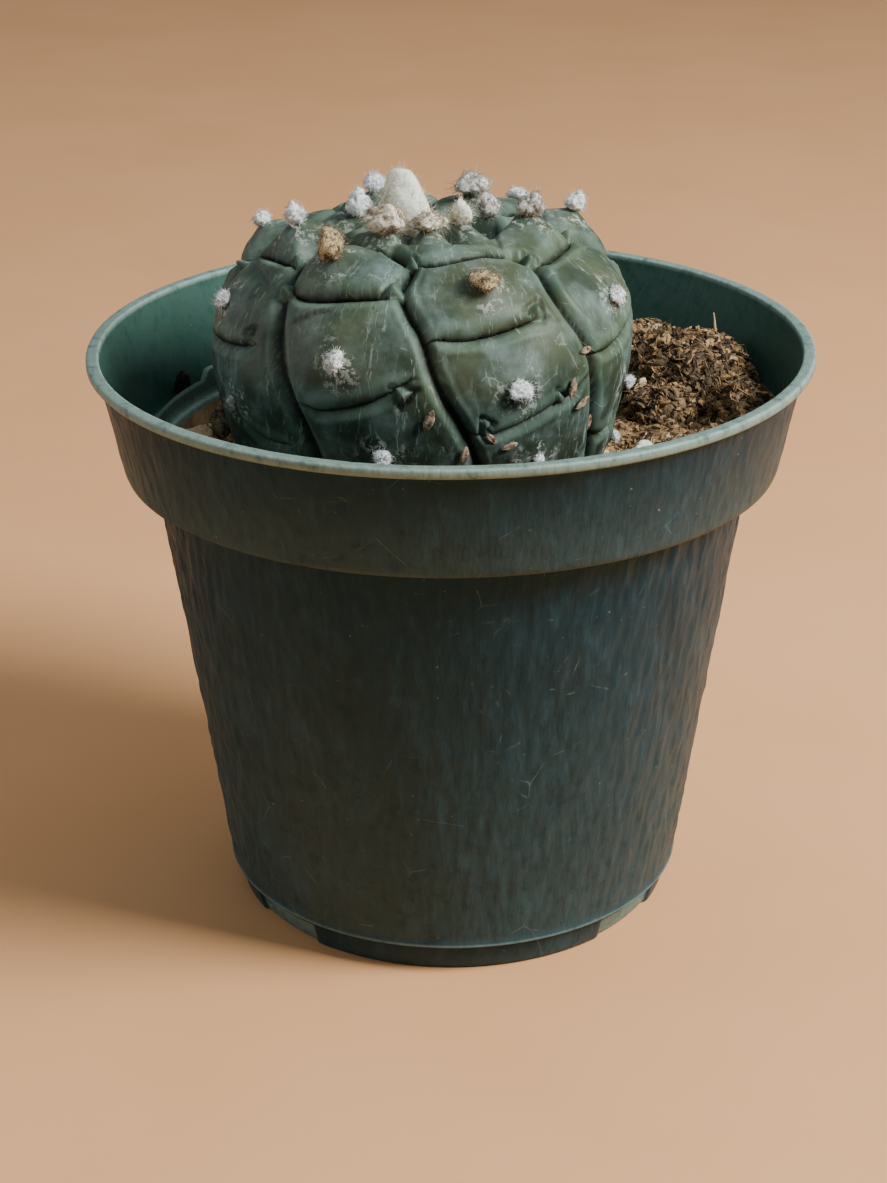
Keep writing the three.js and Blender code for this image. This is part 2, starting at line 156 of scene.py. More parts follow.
def make_mesh(name, verts, faces, material, smooth=True, attributes=None):
    """A mesh object from vertices in mm and a list of index arrays, one array per face size."""
    mesh = bpy.data.meshes.new(name)
    mesh.vertices.add(len(verts))
    mesh.vertices.foreach_set("co", (np.asarray(verts) * MM).astype(np.float32).ravel())
    faces = [np.asarray(f, np.int32) for f in faces if len(f)]
    sizes = np.concatenate([np.full(len(f), f.shape[1], np.int32) for f in faces])
    corners = np.concatenate([f.ravel() for f in faces])
    mesh.loops.add(len(corners))
    mesh.loops.foreach_set("vertex_index", corners)
    mesh.polygons.add(len(sizes))
    starts = np.concatenate([[0], np.cumsum(sizes)[:-1]])
    mesh.polygons.foreach_set("loop_start", starts.astype(np.int32))
    mesh.polygons.foreach_set("loop_total", sizes)
    mesh.polygons.foreach_set("use_smooth", np.full(len(sizes), smooth))
    mesh.update(calc_edges=True)
    for key, values in (attributes or {}).items():
        values = np.asarray(values, np.float32)
        kind, field = ("FLOAT", "value") if values.ndim == 1 else ("FLOAT_VECTOR", "vector")
        mesh.attributes.new(key, kind, "POINT").data.foreach_set(field, values.ravel())
    mesh.materials.append(material)
    piece = bpy.data.objects.new(name, mesh)
    bpy.context.scene.collection.objects.link(piece)
    return piece


def place(piece, slot, *nodes):
    """Rides the piece on the part, and hides the CAD nodes it stands for. The slot is not used."""
    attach(piece, "root")
    if nodes:
        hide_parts(*nodes)


def ring_faces(rows, columns):
    """Quads between rows of vertices that each close into a ring."""
    i = np.arange(rows - 1)[:, None] * columns
    j = np.arange(columns)[None, :]
    k = (j + 1) % columns
    quads = np.stack([i + j, i + k, i + columns + k, i + columns + j], axis=-1)
    return quads.reshape(-1, 4)


def closed_faces(rows, columns):
    """Faces of rings that are closed by one vertex at the first end and one at the last."""
    j = np.arange(columns)
    k = (j + 1) % columns
    first, last = rows * columns, (rows - 1) * columns
    start = np.stack([k, j, np.full(columns, first)], axis=1)
    end = np.stack([np.full(columns, first + 1), last + j, last + k], axis=1)
    return [ring_faces(rows, columns), start, end]


def icosphere(levels):
    """Vertices on a unit sphere and its triangles."""
    mesh = bpy.data.meshes.new("ball")
    ball = bmesh.new()
    bmesh.ops.create_icosphere(ball, subdivisions=levels, radius=1)
    ball.to_mesh(mesh)
    ball.free()
    verts = np.array([v.co for v in mesh.vertices])
    faces = np.array([list(p.vertices) for p in mesh.polygons])
    bpy.data.meshes.remove(mesh)
    return verts, faces


BALL = icosphere(4)
CRUMB_BALL = icosphere(2)


class Heap:
    """Many small closed bodies gathered into one mesh, each with a tone from 0 to 1."""

    def __init__(self):
        self.verts, self.faces, self.tones = [], {3: [], 4: []}, []
        self.count = 0

    def add(self, verts, faces, tone):
        """Adds bodies from verts (bodies, points, 3) and one body's face arrays.

        The tone is one value, one for each body, or one for each point of each body.
        """
        bodies, points = verts.shape[:2]
        first = self.count + np.arange(bodies)[:, None, None] * points
        for f in faces:
            self.faces[f.shape[1]].append((f[None] + first).reshape(-1, f.shape[1]))
        self.verts.append(verts.reshape(-1, 3))
        tone = np.asarray(tone, float)
        if tone.ndim < 2:
            tone = np.broadcast_to(tone.reshape(-1, 1), (bodies, points))
        self.tones.append(tone.ravel())
        self.count += bodies * points

    def mesh(self, name, material, smooth=True):
        faces = [np.concatenate(f) for f in self.faces.values() if f]
        verts = np.concatenate(self.verts)
        return make_mesh(name, verts, faces, material, smooth, {"tone": np.concatenate(self.tones)})


def strands(paths, radii):
    """Thin three-sided tubes along paths (strands, points, 3): vertices, and one strand's faces."""
    sides = 3
    along = unit(np.gradient(paths, axis=1))
    across = np.where(np.abs(along[..., 2:]) < 0.8, [0.0, 0.0, 1.0], [1.0, 0.0, 0.0])
    side = unit(np.cross(along, across))
    other = np.cross(along, side)
    count, points = paths.shape[:2]
    ring = np.arange(sides) * 2 * np.pi / sides
    offset = side[:, :, None] * np.cos(ring)[:, None] + other[:, :, None] * np.sin(ring)[:, None]
    verts = paths[:, :, None] + offset * radii[:, :, None, None]
    j = np.arange(sides)
    quads = ring_faces(points, sides)[:, ::-1]
    last = (points - 1) * sides
    return verts.reshape(count, points * sides, 3), [quads, j[None], (last + j[::-1])[None]]


def sample_surface(verts, triangles, count, rng, keep=None):
    """Random points spread evenly over triangles, with their normals."""
    a, b, c = (verts[triangles[:, i]] for i in range(3))
    cross = np.cross(b - a, c - a)
    area = np.linalg.norm(cross, axis=1)
    if keep is not None:
        area = area * keep(unit(cross), (a + b + c) / 3)
    pick = rng.choice(len(triangles), count, p=area / area.sum())
    u, v = rng.random((2, count, 1))
    flip = u + v > 1
    u, v = np.where(flip, 1 - u, u), np.where(flip, 1 - v, v)
    return a[pick] + u * (b - a)[pick] + v * (c - a)[pick], unit(cross[pick])


def frames(normals, rng):
    """A random direction square to each normal, and the one square to both."""
    first = unit(np.cross(normals, rng.normal(size=normals.shape)))
    return first, np.cross(normals, first)


# ---- materials

class Paint:
    """A node material with a Principled shader. Coordinates are in millimetres."""

    def __init__(self, name, roughness, **settings):
        self.material = bpy.data.materials.new(name)
        self.material.use_nodes = True
        self.tree = self.material.node_tree
        self.shader = self.tree.nodes["Principled BSDF"]
        self.shader.inputs["Roughness"].default_value = roughness
        for key, value in settings.items():
            self.shader.inputs[key.replace("_", " ")].default_value = value
        place_in = self.tree.nodes.new("ShaderNodeTexCoord").outputs["Object"]
        self.place = self.vector("SCALE", place_in, scale=1 / MM)

    def node(self, kind, inputs=None, **settings):
        node = self.tree.nodes.new("ShaderNode" + kind)
        for key, value in settings.items():
            setattr(node, key, value)
        for key, value in (inputs or {}).items():
            self.feed(node.inputs[key], value)
        return node

    def feed(self, socket, value):
        if isinstance(value, bpy.types.NodeSocket):
            self.tree.links.new(value, socket)
        else:
            socket.default_value = value

    def vector(self, operation, a, b=(0, 0, 0), scale=1.0):
        return self.node("VectorMath", {0: a, 1: b, 3: scale}, operation=operation).outputs["Vector"]

    def math(self, operation, a, b, clamp=False):
        return self.node("Math", {0: a, 1: b}, operation=operation, use_clamp=clamp).outputs[0]

    def times(self, a, b):
        return self.math("MULTIPLY", a, b)

    def stretched(self, x, y, z):
        return self.vector("MULTIPLY", self.place, (x, y, z))

    def noise(self, size, detail, roughness=0.55, where=None):
        """Noise about 0.5 with features of this size in millimetres."""
        inputs = {"Vector": where or self.place, "Scale": 1 / size}
        inputs.update({"Detail": detail, "Roughness": roughness})
        return self.node("TexNoise", inputs).outputs["Fac"]

    def warped(self, place, size):
        """The place, moved by a smooth wander of about this many millimetres."""
        inputs = {"Vector": self.place, "Scale": 1 / (4 * size), "Detail": 2.0}
        wander = self.node("TexNoise", inputs).outputs["Color"]
        centred = self.vector("SUBTRACT", wander, (0.5, 0.5, 0.5))
        return self.vector("ADD", place, self.vector("SCALE", centred, scale=2 * size))

    def cracks(self, size, wander, width):
        """1 along the wandering edges of random cells of this size, 0 away from them."""
        inputs = {"Vector": self.warped(self.place, wander), "Scale": 1 / size}
        edge = self.node("TexVoronoi", inputs, feature="DISTANCE_TO_EDGE").outputs["Distance"]
        return self.span(edge, width, 0.0)

    def span(self, value, low, high):
        """Runs from 0 to 1 as value goes from low to high."""
        inputs = {"Value": value, "From Min": low, "From Max": high}
        return self.node("MapRange", inputs, interpolation_type="SMOOTHSTEP").outputs[0]

    def mix(self, factor, a, b):
        return self.node("Mix", {0: factor, 6: a, 7: b}, data_type="RGBA").outputs[2]

    def over(self, base, mask, strength, colour):
        """Lays a colour over the base where the mask is 1, at this strength."""
        return self.mix(self.times(mask, strength), base, colour)

    def ramp(self, value, stops):
        node = self.node("ValToRGB", {"Fac": value})
        marks = node.color_ramp.elements
        while len(marks) < len(stops):
            marks.new(0.5)
        for mark, (position, colour) in zip(marks, stops):
            mark.position = position
            mark.color = colour
        return node.outputs["Color"]

    def attribute(self, name):
        return self.node("Attribute", attribute_name=name).outputs["Fac"]

    def finish(self, colour, bump=(), roughness=None):
        """Sets the colour, then bumps of (height, strength, depth in mm), then a roughness map."""
        self.feed(self.shader.inputs["Base Color"], colour)
        normal = None
        for height, strength, depth in bump:
            inputs = {"Height": height, "Strength": strength, "Distance": depth * MM}
            if normal:
                inputs["Normal"] = normal
            normal = self.node("Bump", inputs).outputs[0]
        if normal:
            self.feed(self.shader.inputs["Normal"], normal)
        if roughness:
            self.feed(self.shader.inputs["Roughness"], roughness)
        return self.material


def rgb(red, green, blue):
    """A colour from its sRGB values out of 255."""
    srgb = np.array([red, green, blue]) / 255
    linear = np.where(srgb <= 0.04045, srgb / 12.92, ((srgb + 0.055) / 1.055) ** 2.4)
    return (*linear.tolist(), 1.0)


def pot_paint():
    p = Paint("pot_plastic", 0.42, Specular_IOR_Level=0.22, Specular_Tint=(0.55, 0.85, 0.9, 1))
    # Fine upright streaks, with patches of dust outside, and a lighter, greener copy of the plastic
    # inside as painted light on the inner wall.
    streaks = p.noise(1.1, 2, 0.5, p.stretched(1, 1, 0.28))
    base = p.ramp(p.noise(12, 3), [(0.3, rgb(9, 33, 42)), (0.7, rgb(14, 43, 54))])
    base = p.mix(p.times(p.span(streaks, 0.5, 0.8), 0.6), base, rgb(24, 56, 68))
    outside = p.attribute("outside")
    dusty = p.noise(5, 4, 0.65, p.stretched(1, 1, 0.5))
    dusty = p.times(p.span(dusty, 0.50, 0.75), outside)
    base = p.over(base, dusty, 0.35, rgb(46, 74, 86))
    # Painted light: the inside is given a lighter, greener copy of the plastic's colour.
    base = p.mix(p.math("SUBTRACT", 1.0, outside, True), base, rgb(28, 70, 58))
    # Level scratches, thin scuffs and pale specks, and corners worn pale, with painted highlight along
    # the edges.
    scratches = p.span(p.noise(0.8, 3, 0.6, p.stretched(0.35, 0.35, 1.4)), 0.66, 0.74)
    scratches = p.times(scratches, p.span(p.noise(9, 2), 0.5, 0.7))
    base = p.over(base, scratches, 0.35, rgb(120, 136, 126))
    scuffs = p.cracks(14, 9.0, 0.007)
    scuffs = p.times(p.times(scuffs, outside), p.span(p.noise(6, 3, 0.6), 0.56, 0.66))
    base = p.over(base, scuffs, 0.28, rgb(126, 140, 128))
    specks = p.span(p.noise(0.9, 2, 0.5), 0.74, 0.80)
    base = p.over(base, specks, 0.35, rgb(150, 165, 155))
    # Painted highlight along the edges and corners, laid over together with the real wear.
    worn_and_highlit = p.times(p.attribute("wear_and_highlight"), p.span(p.noise(2.2, 5, 0.7), 0.12, 0.55))
    base = p.mix(worn_and_highlit, base, rgb(146, 168, 154))
    rough = p.math("ADD", 0.34, p.times(p.noise(3, 3), 0.24))
    bumps = [(streaks, 0.7, 0.25), (p.noise(0.35, 2), 0.12, 0.05)]
    return p.finish(base, bumps, rough)


def skin_paint():
    p = Paint("cactus_skin", 0.6, Specular_IOR_Level=0.22)
    edge = p.attribute("edge")
    areole = p.attribute("areole")
    age_and_shade = p.attribute("age_and_shade")
    flow = p.node("Attribute", attribute_name="flow").outputs["Vector"]
    flow = p.warped(flow, 0.8)
    stops = [(0.3, rgb(44, 55, 40)), (0.55, rgb(60, 73, 58)), (0.75, rgb(88, 102, 82))]
    base = p.ramp(p.noise(7, 4, 0.6), stops)
    olive = p.times(p.span(p.noise(11, 3), 0.42, 0.62), p.span(age_and_shade, 0.4, 0.0))
    base = p.over(base, olive, 0.34, rgb(92, 94, 60))
    # Painted shade: the lower plates near the rim go dark, on top of their real age.
    base = p.over(base, age_and_shade, 0.92, rgb(24, 30, 20))
    # Waxy bloom in patches, with fine pale streaks down the ribs.
    bloom = p.span(p.noise(6.0, 5, 0.62), 0.40, 0.75)
    base = p.over(base, bloom, 0.36, rgb(146, 168, 164))
    streaks = p.span(p.noise(0.5, 3, 0.6, flow), 0.54, 0.70)
    wide = p.span(p.noise(3.0, 2, 0.5, flow), 0.40, 0.66)
    streaks = p.times(streaks, wide)
    base = p.over(base, streaks, 0.5, rgb(162, 178, 164))
    # Thin corky scars, painted highlight on the lips and painted shade in the depths along the furrows,
    # and scurf round the areoles.
    scars = p.cracks(5.2, 5.5, 0.025)
    scars = p.times(scars, p.span(p.noise(3.0, 3, 0.6), 0.5, 0.62))
    base = p.over(base, scars, 0.34, rgb(164, 174, 150))
    # Painted highlight on the lips beside the furrows.
    lip = p.times(p.span(edge, 0.5, 1.3), p.span(edge, 2.3, 1.5))
    base = p.over(base, lip, 0.22, rgb(112, 140, 118))
    # Painted shade down in the furrows.
    base = p.over(base, p.span(edge, 0.75, 0.1), 0.8, rgb(14, 20, 10))
    scurf = p.times(p.span(p.noise(0.9, 4, 0.7), 0.5, 0.57), p.span(p.noise(3.2, 1), 0.42, 0.55))
    scurf = p.times(p.span(areole, 4.4, 2.2), scurf)
    base = p.over(base, scurf, 0.75, rgb(178, 180, 166))
    bumps = [(p.noise(1.6, 4, 0.6), 0.2, 0.2), (streaks, 0.5, 0.08)]
    bumps += [(scars, 0.4, 0.1), (scurf, 0.5, 0.1)]
    rough = p.math("ADD", 0.46, p.times(bloom, 0.2))
    return p.finish(base, bumps, rough)


def wool_paint(name, light, dark):
    p = Paint(name, 0.95, Specular_IOR_Level=0.1, Sheen_Weight=0.15, Sheen_Roughness=0.6)
    patches = p.math("ADD", p.attribute("tone"), p.math("SUBTRACT", p.noise(0.8, 4, 0.7), 0.5))
    base = p.mix(p.span(patches, 0.3, 0.85), dark, light)
    return p.finish(base, [(p.noise(0.6, 3, 0.6), 0.5, 0.25), (p.noise(0.2, 3, 0.6), 0.5, 0.1)])


def peat_paint(stops):
    p = Paint("peat", 0.92, Specular_IOR_Level=0.15)
    spread = p.times(p.math("SUBTRACT", p.noise(1.0, 3, 0.6), 0.5), 0.5)
    tone = p.math("ADD", p.attribute("tone"), spread)
    return p.finish(p.ramp(tone, stops), [(p.noise(0.3, 3, 0.6), 0.5, 0.15)])


def plain_paint(name, size, dark, light, roughness):
    p = Paint(name, roughness, Specular_IOR_Level=0.25)
    base = p.mix(p.span(p.noise(size, 4, 0.6), 0.35, 0.65), dark, light)
    return p.finish(base, [(p.noise(0.5 * size, 3), 0.4, 0.1)])


PEAT_STOPS = [
    (0.05, rgb(34, 27, 22)),
    (0.28, rgb(82, 66, 50)),
    (0.48, rgb(124, 100, 74)),
    (0.66, rgb(152, 120, 80)),
    (0.84, rgb(178, 144, 104)),
    (1.00, rgb(208, 186, 152)),
]

POT = pot_paint()
SKIN = skin_paint()
WOOLS = {
    "white": wool_paint("wool_white", rgb(250, 251, 252), rgb(196, 193, 186)),
    "cream": wool_paint("wool_cream", rgb(246, 243, 228), rgb(206, 196, 164)),
    "tan": wool_paint("wool_tan", rgb(232, 222, 198), rgb(132, 108, 78)),
    "grey": wool_paint("wool_grey", rgb(222, 218, 208), rgb(128, 118, 104)),
    "brown": wool_paint("wool_brown", rgb(198, 176, 134), rgb(78, 58, 34)),
}
OLD_WOOLS = ("tan", "brown")
PEAT = peat_paint(PEAT_STOPS)
PERLITE = plain_paint("perlite", 0.9, rgb(206, 200, 186), rgb(240, 238, 232), 0.85)
HUSK = plain_paint("husk", 0.8, rgb(84, 60, 46), rgb(178, 152, 126), 0.7)
DARK_CRUMB = plain_paint("dark_crumb", 0.8, rgb(24, 20, 20), rgb(70, 56, 50), 0.8)
PALE_BARK = plain_paint("pale_bark", 1.2, rgb(176, 138, 96), rgb(222, 190, 148), 0.8)


# ---- camera, light and floor

EYE = Vector((0, -353.85, 205.23)) * MM
PITCH, YAW, ROLL = math.radians(24.06), math.radians(-0.215), math.radians(-0.31)
LENS = 75.47
AIM_HEIGHT = 70
FLOOR_HALF = 9000
FLOOR_COLOURS = rgb(234, 173, 120), rgb(229, 168, 115)
ROOM_COLOUR = (0.72, 0.87, 1.0, 1)
ROOM_STRENGTH = 0.24
# Each light: azimuth from +X and elevation in degrees, distance and size in metres, power, colour.
LIGHTS = {
    "key": (-19, 40, 0.8, 0.32, 12.6, (0.96, 1.0, 1.02)),
    "overhead": (80, 72, 0.9, 0.7, 1.6, (0.97, 0.99, 1.0)),
    "fill": (176, 13, 0.8, 0.5, 1.6, (0.92, 0.98, 1.0)),
}


def add_camera():
    forward = Vector((math.sin(YAW), math.cos(YAW), 0))
    ahead = forward * math.cos(PITCH) - Vector((0, 0, math.sin(PITCH)))
    level = Vector((math.cos(YAW), -math.sin(YAW), 0))
    above = level.cross(ahead)
    right = level * math.cos(ROLL) + above * math.sin(ROLL)
    up = above * math.cos(ROLL) - level * math.sin(ROLL)
    data = bpy.data.cameras.new("camera")
    data.lens = LENS
    data.sensor_width = 36
    data.clip_start = 0.01
    camera = bpy.data.objects.new("camera", data)
    turn = Matrix((right, up, -ahead)).transposed().to_4x4()
    camera.matrix_world = Matrix.Translation(EYE) @ turn
    bpy.context.scene.collection.objects.link(camera)
    bpy.context.scene.camera = camera


def add_light(name, azimuth, elevation, distance, size, power, colour):
    """A square area light aimed at the plant."""
    data = bpy.data.lights.new(name, "AREA")
    data.size = size
    data.energy = power
    data.color = colour
    light = bpy.data.objects.new(name, data)
    a, e = math.radians(azimuth), math.radians(elevation)
    away = Vector((math.cos(a) * math.cos(e), math.sin(a) * math.cos(e), math.sin(e)))
    light.location = Vector((0, 0, AIM_HEIGHT * MM)) + away * distance
    light.rotation_euler = away.to_track_quat("Z", "Y").to_euler()
    bpy.context.scene.collection.objects.link(light)


def add_floor():
    corners = np.array([[-1.0, -1, 0], [1, -1, 0], [1, 1, 0], [-1, 1, 0]]) * FLOOR_HALF
    p = Paint("floor", 0.9, Specular_IOR_Level=0.1)
    paint = p.finish(p.mix(p.span(p.noise(60, 3), 0.3, 0.7), *FLOOR_COLOURS))
    floor = make_mesh("floor", corners, [np.array([[0, 1, 2, 3]])], paint, smooth=False)


def add_world():
    world = bpy.data.worlds.new("soft_room")
    world.use_nodes = True
    background = world.node_tree.nodes["Background"]
    background.inputs["Color"].default_value = ROOM_COLOUR
    background.inputs["Strength"].default_value = ROOM_STRENGTH
    bpy.context.scene.world = world


# ---- pot

def wall_radius(z):
    """Radius of the inside of the pot."""
    z = np.asarray(z, float)
    body = INNER_FOOT + (z - FLOOR_Z) / (LEDGE_Z - FLOOR_Z) * (INNER_TOP - INNER_FOOT)
    band_foot = BAND_FOOT_RADIUS - WALL
    share = (z - LEDGE_Z) / (POT_HEIGHT - LEDGE_Z)
    band = band_foot + share * (RIM_RADIUS - RIM_WIDTH - band_foot)
    return np.where(z > LEDGE_Z, band, body)


def build_pot():
    lip = POT_HEIGHT - LIP_DEPTH
    # Each corner of the section: radius, height, rows up to the next corner, outside, and wear with
    # painted edge highlight.
    corners = [
        (RING_RADIUS - 4.4, FLOOR_UNDERSIDE, 2, 1, 0),
        (RING_RADIUS - 3.0, 0.2, 1, 1, 0),
        (RING_RADIUS - 2.8, 0, 2, 1, 0),
        (RING_RADIUS - 0.4, 0, 1, 1, 0.1),
        (RING_RADIUS, 0.4, 12, 1, 0.1),
        (BODY_FOOT_RADIUS - 0.55, RING_HEIGHT - 0.1, 1, 1, 0),
        (BODY_FOOT_RADIUS + 0.04, RING_HEIGHT, 1, 1, 0.15),
        (BODY_FOOT_RADIUS + 0.14, RING_HEIGHT + 0.12, 1, 1, 0.32),
        (BODY_FOOT_RADIUS + 0.12, RING_HEIGHT + 0.26, 1, 1, 0.36),
        (BODY_FOOT_RADIUS - 0.05, RING_HEIGHT + 0.5, 54, 1, 0.1),
        (BODY_TOP_RADIUS, BAND_FOOT_Z - 0.4, 1, 1, 0),
        (BODY_TOP_RADIUS + 0.4, BAND_FOOT_Z, 4, 1, 0),
        (BAND_FOOT_RADIUS - 0.9, BAND_FOOT_Z, 1, 1, 0.05),
        (BAND_FOOT_RADIUS - 0.25, BAND_FOOT_Z + 0.2, 1, 1, 0.12),
        (BAND_FOOT_RADIUS, BAND_FOOT_Z + 0.9, 18, 1, 0.1),
        (BAND_TOP_RADIUS, lip - 0.3, 1, 1, 0),
        (BAND_TOP_RADIUS + 0.3, lip, 2, 1, 0.1),
        (RIM_RADIUS - 0.35, lip, 1, 1, 0.5),
        (RIM_RADIUS, lip + 0.35, 1, 1, 0.7),
        (RIM_RADIUS, POT_HEIGHT - 0.45, 1, 1, 0.7),
        (RIM_RADIUS - 0.15, POT_HEIGHT - 0.12, 1, 1, 0.95),
        (RIM_RADIUS - 0.45, POT_HEIGHT, 3, 1, 0.62),
        (RIM_RADIUS - RIM_WIDTH + 0.45, POT_HEIGHT, 1, 1, 0.62),
        (RIM_RADIUS - RIM_WIDTH + 0.15, POT_HEIGHT - 0.06, 1, 1, 0.95),
        (RIM_RADIUS - RIM_WIDTH, POT_HEIGHT - 0.3, 1, 0, 0.8),
        (RIM_RADIUS - RIM_WIDTH - 0.08, POT_HEIGHT - 0.9, 14, 0, 0.15),
        (BAND_FOOT_RADIUS - WALL + 0.1, LEDGE_Z + 0.3, 1, 0, 0.1),
        (BAND_FOOT_RADIUS - WALL - 0.2, LEDGE_Z, 2, 0, 0.35),
        (LUG_OUTER + 0.05, LEDGE_Z, 1, 0, 0.35),
        (LUG_OUTER, LUG_TOP - 0.15, 1, 0, 0.6),
        (LUG_OUTER - 0.15, LUG_TOP, 1, 0, 0.9),
        (LUG_INNER + 0.15, LUG_TOP, 1, 0, 0.9),
        (LUG_INNER, LUG_TOP - 0.15, 4, 0, 0.6),
        (LUG_INNER - 0.05, LEDGE_Z, 2, 0, 0.35),
        (INNER_TOP + 0.35, LEDGE_Z, 1, 0, 0.9),
        (INNER_TOP, LEDGE_Z - 0.3, 8, 0, 0.6),
        (INNER_FOOT + 0.5, FLOOR_Z + 1, 1, 0, 0),
        (INNER_FOOT - 0.8, FLOOR_Z, 1, 0, 0),
    ]
    rows = []
    for here, there in zip(corners, corners[1:] + corners[-1:]):
        for i in range(here[2]):
            share = i / here[2]
            rows.append([a + share * (b - a) for a, b in zip(here, there)])
    radius, height, _, outside, wear_and_highlight = np.array(rows).T[:, :, None]

    columns = 600
    turns = np.arange(columns) * 360 / columns
    bare_ledge = 0.35  # wear, with painted highlight
    gap = np.min([turn_gap(turns, t) for t in LUG_TURNS], axis=0)
    lug = np.clip((LUG_SPAN / 2 - gap) / LUG_SLANT, 0, 1)[None]
    notch = in_sectors(turns, NOTCH_TURNS, NOTCH_SPAN, 1.2)[None]
    # The lugs stand up out of the ledge only in their own sectors.
    on_lug = (radius > LUG_INNER - 0.01) & (radius < LUG_OUTER + 0.01) & (height > LEDGE_Z)
    on_lug &= outside < 0.5
    z = np.where(on_lug, LEDGE_Z + (height - LEDGE_Z) * lug, height)
    wear_and_highlight = np.where(on_lug & (lug < 0.01), bare_ledge, wear_and_highlight)
    on_ring = (outside > 0.5) & (height < NOTCH_HEIGHT) & (radius > RING_RADIUS - 0.9)
    r = radius - notch * on_ring * NOTCH_DEPTH
    wear_and_highlight = np.where(notch * on_ring > 0.5, 0.45, wear_and_highlight)
    for t in WEEP_TURNS:
        across = np.radians((turns[None] - t + 180) % 360 - 180) * RING_RADIUS
        weep = np.hypot(across, z - WEEP_HEIGHT) < WEEP_RADIUS
        r = np.where(weep & on_ring, r - 1.5, r)
        wear_and_highlight = np.where(weep & on_ring, 0, wear_and_highlight)
    # The lip isn't quite round.
    angle = np.radians(turns)[None]
    top = smoothstep(40, POT_HEIGHT, z)
    r = r + top * 0.25 * np.sin(2 * angle + 0.8)
    x, y = r * np.cos(angle), r * np.sin(angle)
    z = np.broadcast_to(z, x.shape)
    points = np.stack([x, y, z], axis=-1).reshape(-1, 3)

    # Moulded pebbling: fine upright streaks, softer on the band and none on the lip or foot.
    noise = Noise(11)
    streak = noise(points * [1, 1, 0.33], 1.15) + 0.5 * noise(points * [1, 1, 0.5], 0.6)
    flat = np.broadcast_to(outside, x.shape).ravel()
    level = points[:, 2]
    on_body = smoothstep(RING_HEIGHT, RING_HEIGHT + 3, level) * smoothstep(70.5, 69.5, level)
    on_band = smoothstep(72, 73.5, level) * smoothstep(86.8, 85.5, level)
    outward = unit(points * [1, 1, 0])
    side = 0.5 + 0.5 * np.abs(outward[:, 0])
    depth = flat * side * (0.24 * on_body + 0.12 * on_band)
    points = points + outward * (depth * streak)[:, None]
    chips = noise(points, 0.7) * noise(points, 3.0)
    wear_and_highlight = np.broadcast_to(wear_and_highlight, x.shape).ravel()
    lip_part = smoothstep(0.2, 0.6, wear_and_highlight) * (level > lip)
    points[:, 2] += 0.12 * lip_part * np.minimum(chips, 0)

    verts = np.vstack([points, [[0, 0, FLOOR_UNDERSIDE], [0, 0, FLOOR_Z]]])
    faces = closed_faces(len(radius), columns)
    attributes = {"outside": np.append(flat, [1, 0]), "wear_and_highlight": np.append(wear_and_highlight, [0, 0])}
    pot = make_mesh("pot_shell", verts, faces, POT, True, attributes)
    place(pot, "pot_plastic", "nursery_pot")


# ---- cactus

# Half section of the stem and its taproot before the tubercles swell: radius, height above the rim.
STEM_SECTION = [
    (0, 16.6), (7, 17.3), (15, 17), (21.5, 14.9), (26.3, 11.2), (28.9, 6.2), (29.5, 1), (28.6, -5),
    (27, -11), (24.6, -17), (20.5, -23), (14.5, -29), (9.5, -37), (5.5, -48), (2, -58), (0, -60),
]
SECTION, SECTION_LENGTH = catmull_rom(STEM_SECTION)
SKIN_END = 63.0  # how far down the section the detailed skin goes before the plain root

# Areoles down each rib: turn, distance from the crown along the skin, the tuft's width and height, wool.
RIB_AREOLES = {
    "front_left": [
        (-119, 11, 6.4, 4.6, "tan"), (-125, 20.3, 4.4, 5.6, "brown"), (-112.5, 33, 3.2, 2.8, "white"),
        (-101, 44.7, 2.5, 1.8, "white"),
    ],
    "front_right": [
        (-87, 9.5, 5.4, 2.8, "tan"), (-71, 23.4, 4.0, 2.3, "brown"), (-66, 36.5, 3.3, 2.4, "white"),
        (-59, 46.8, 1.7, 1.2, "white"),
    ],
    "right_front": [
        (-20, 15, 3.9, 4.0, "grey"), (-23, 29.5, 3.0, 2.4, "white"), (-18, 41.2, 2.0, 1.7, "white"),
        (-15, 50.2, 1.9, 1.6, "white"),
    ],
    "right_back": [
        (-12, 9, 3.6, 4.2, "grey"), (13, 20.5, 3.0, 3.6, "white"), (28, 34.5, 2.4, 2.0, "white"),
        (33, 46, 1.9, 1.5, "white"),
    ],
    "back_right": [
        (52, 11, 5.2, 3.8, "grey"), (58, 24.5, 3.2, 2.6, "white"), (66, 36.5, 2.5, 2.0, "white"),
        (71, 48, 1.8, 1.4, "white"),
    ],
    "back_left": [
        (128, 12, 4.0, 3.4, "white"), (106, 23.5, 3.4, 3.0, "white"), (111, 35, 2.6, 2.0, "white"),
        (117, 46.5, 2.0, 1.5, "white"),
    ],
    "left_back": [
        (180, 9.5, 3.9, 4.6, "white"), (171, 22.5, 2.9, 2.5, "white"), (159, 36, 2.3, 1.9, "white"),
        (161, 48, 1.8, 1.4, "white"),
    ],
    "left_front": [
        (-161, 18, 3.4, 4.0, "white"), (-163, 30.5, 2.8, 2.3, "white"), (-148, 41.5, 2.0, 1.5, "grey"),
    ],
}
AREOLES = [
    (f"{rib}_{i + 1}", *row) for rib, rows in RIB_AREOLES.items() for i, row in enumerate(rows)
]
AREOLES.append(("crown_side", -50, 8, 3.2, 5.0, "cream"))

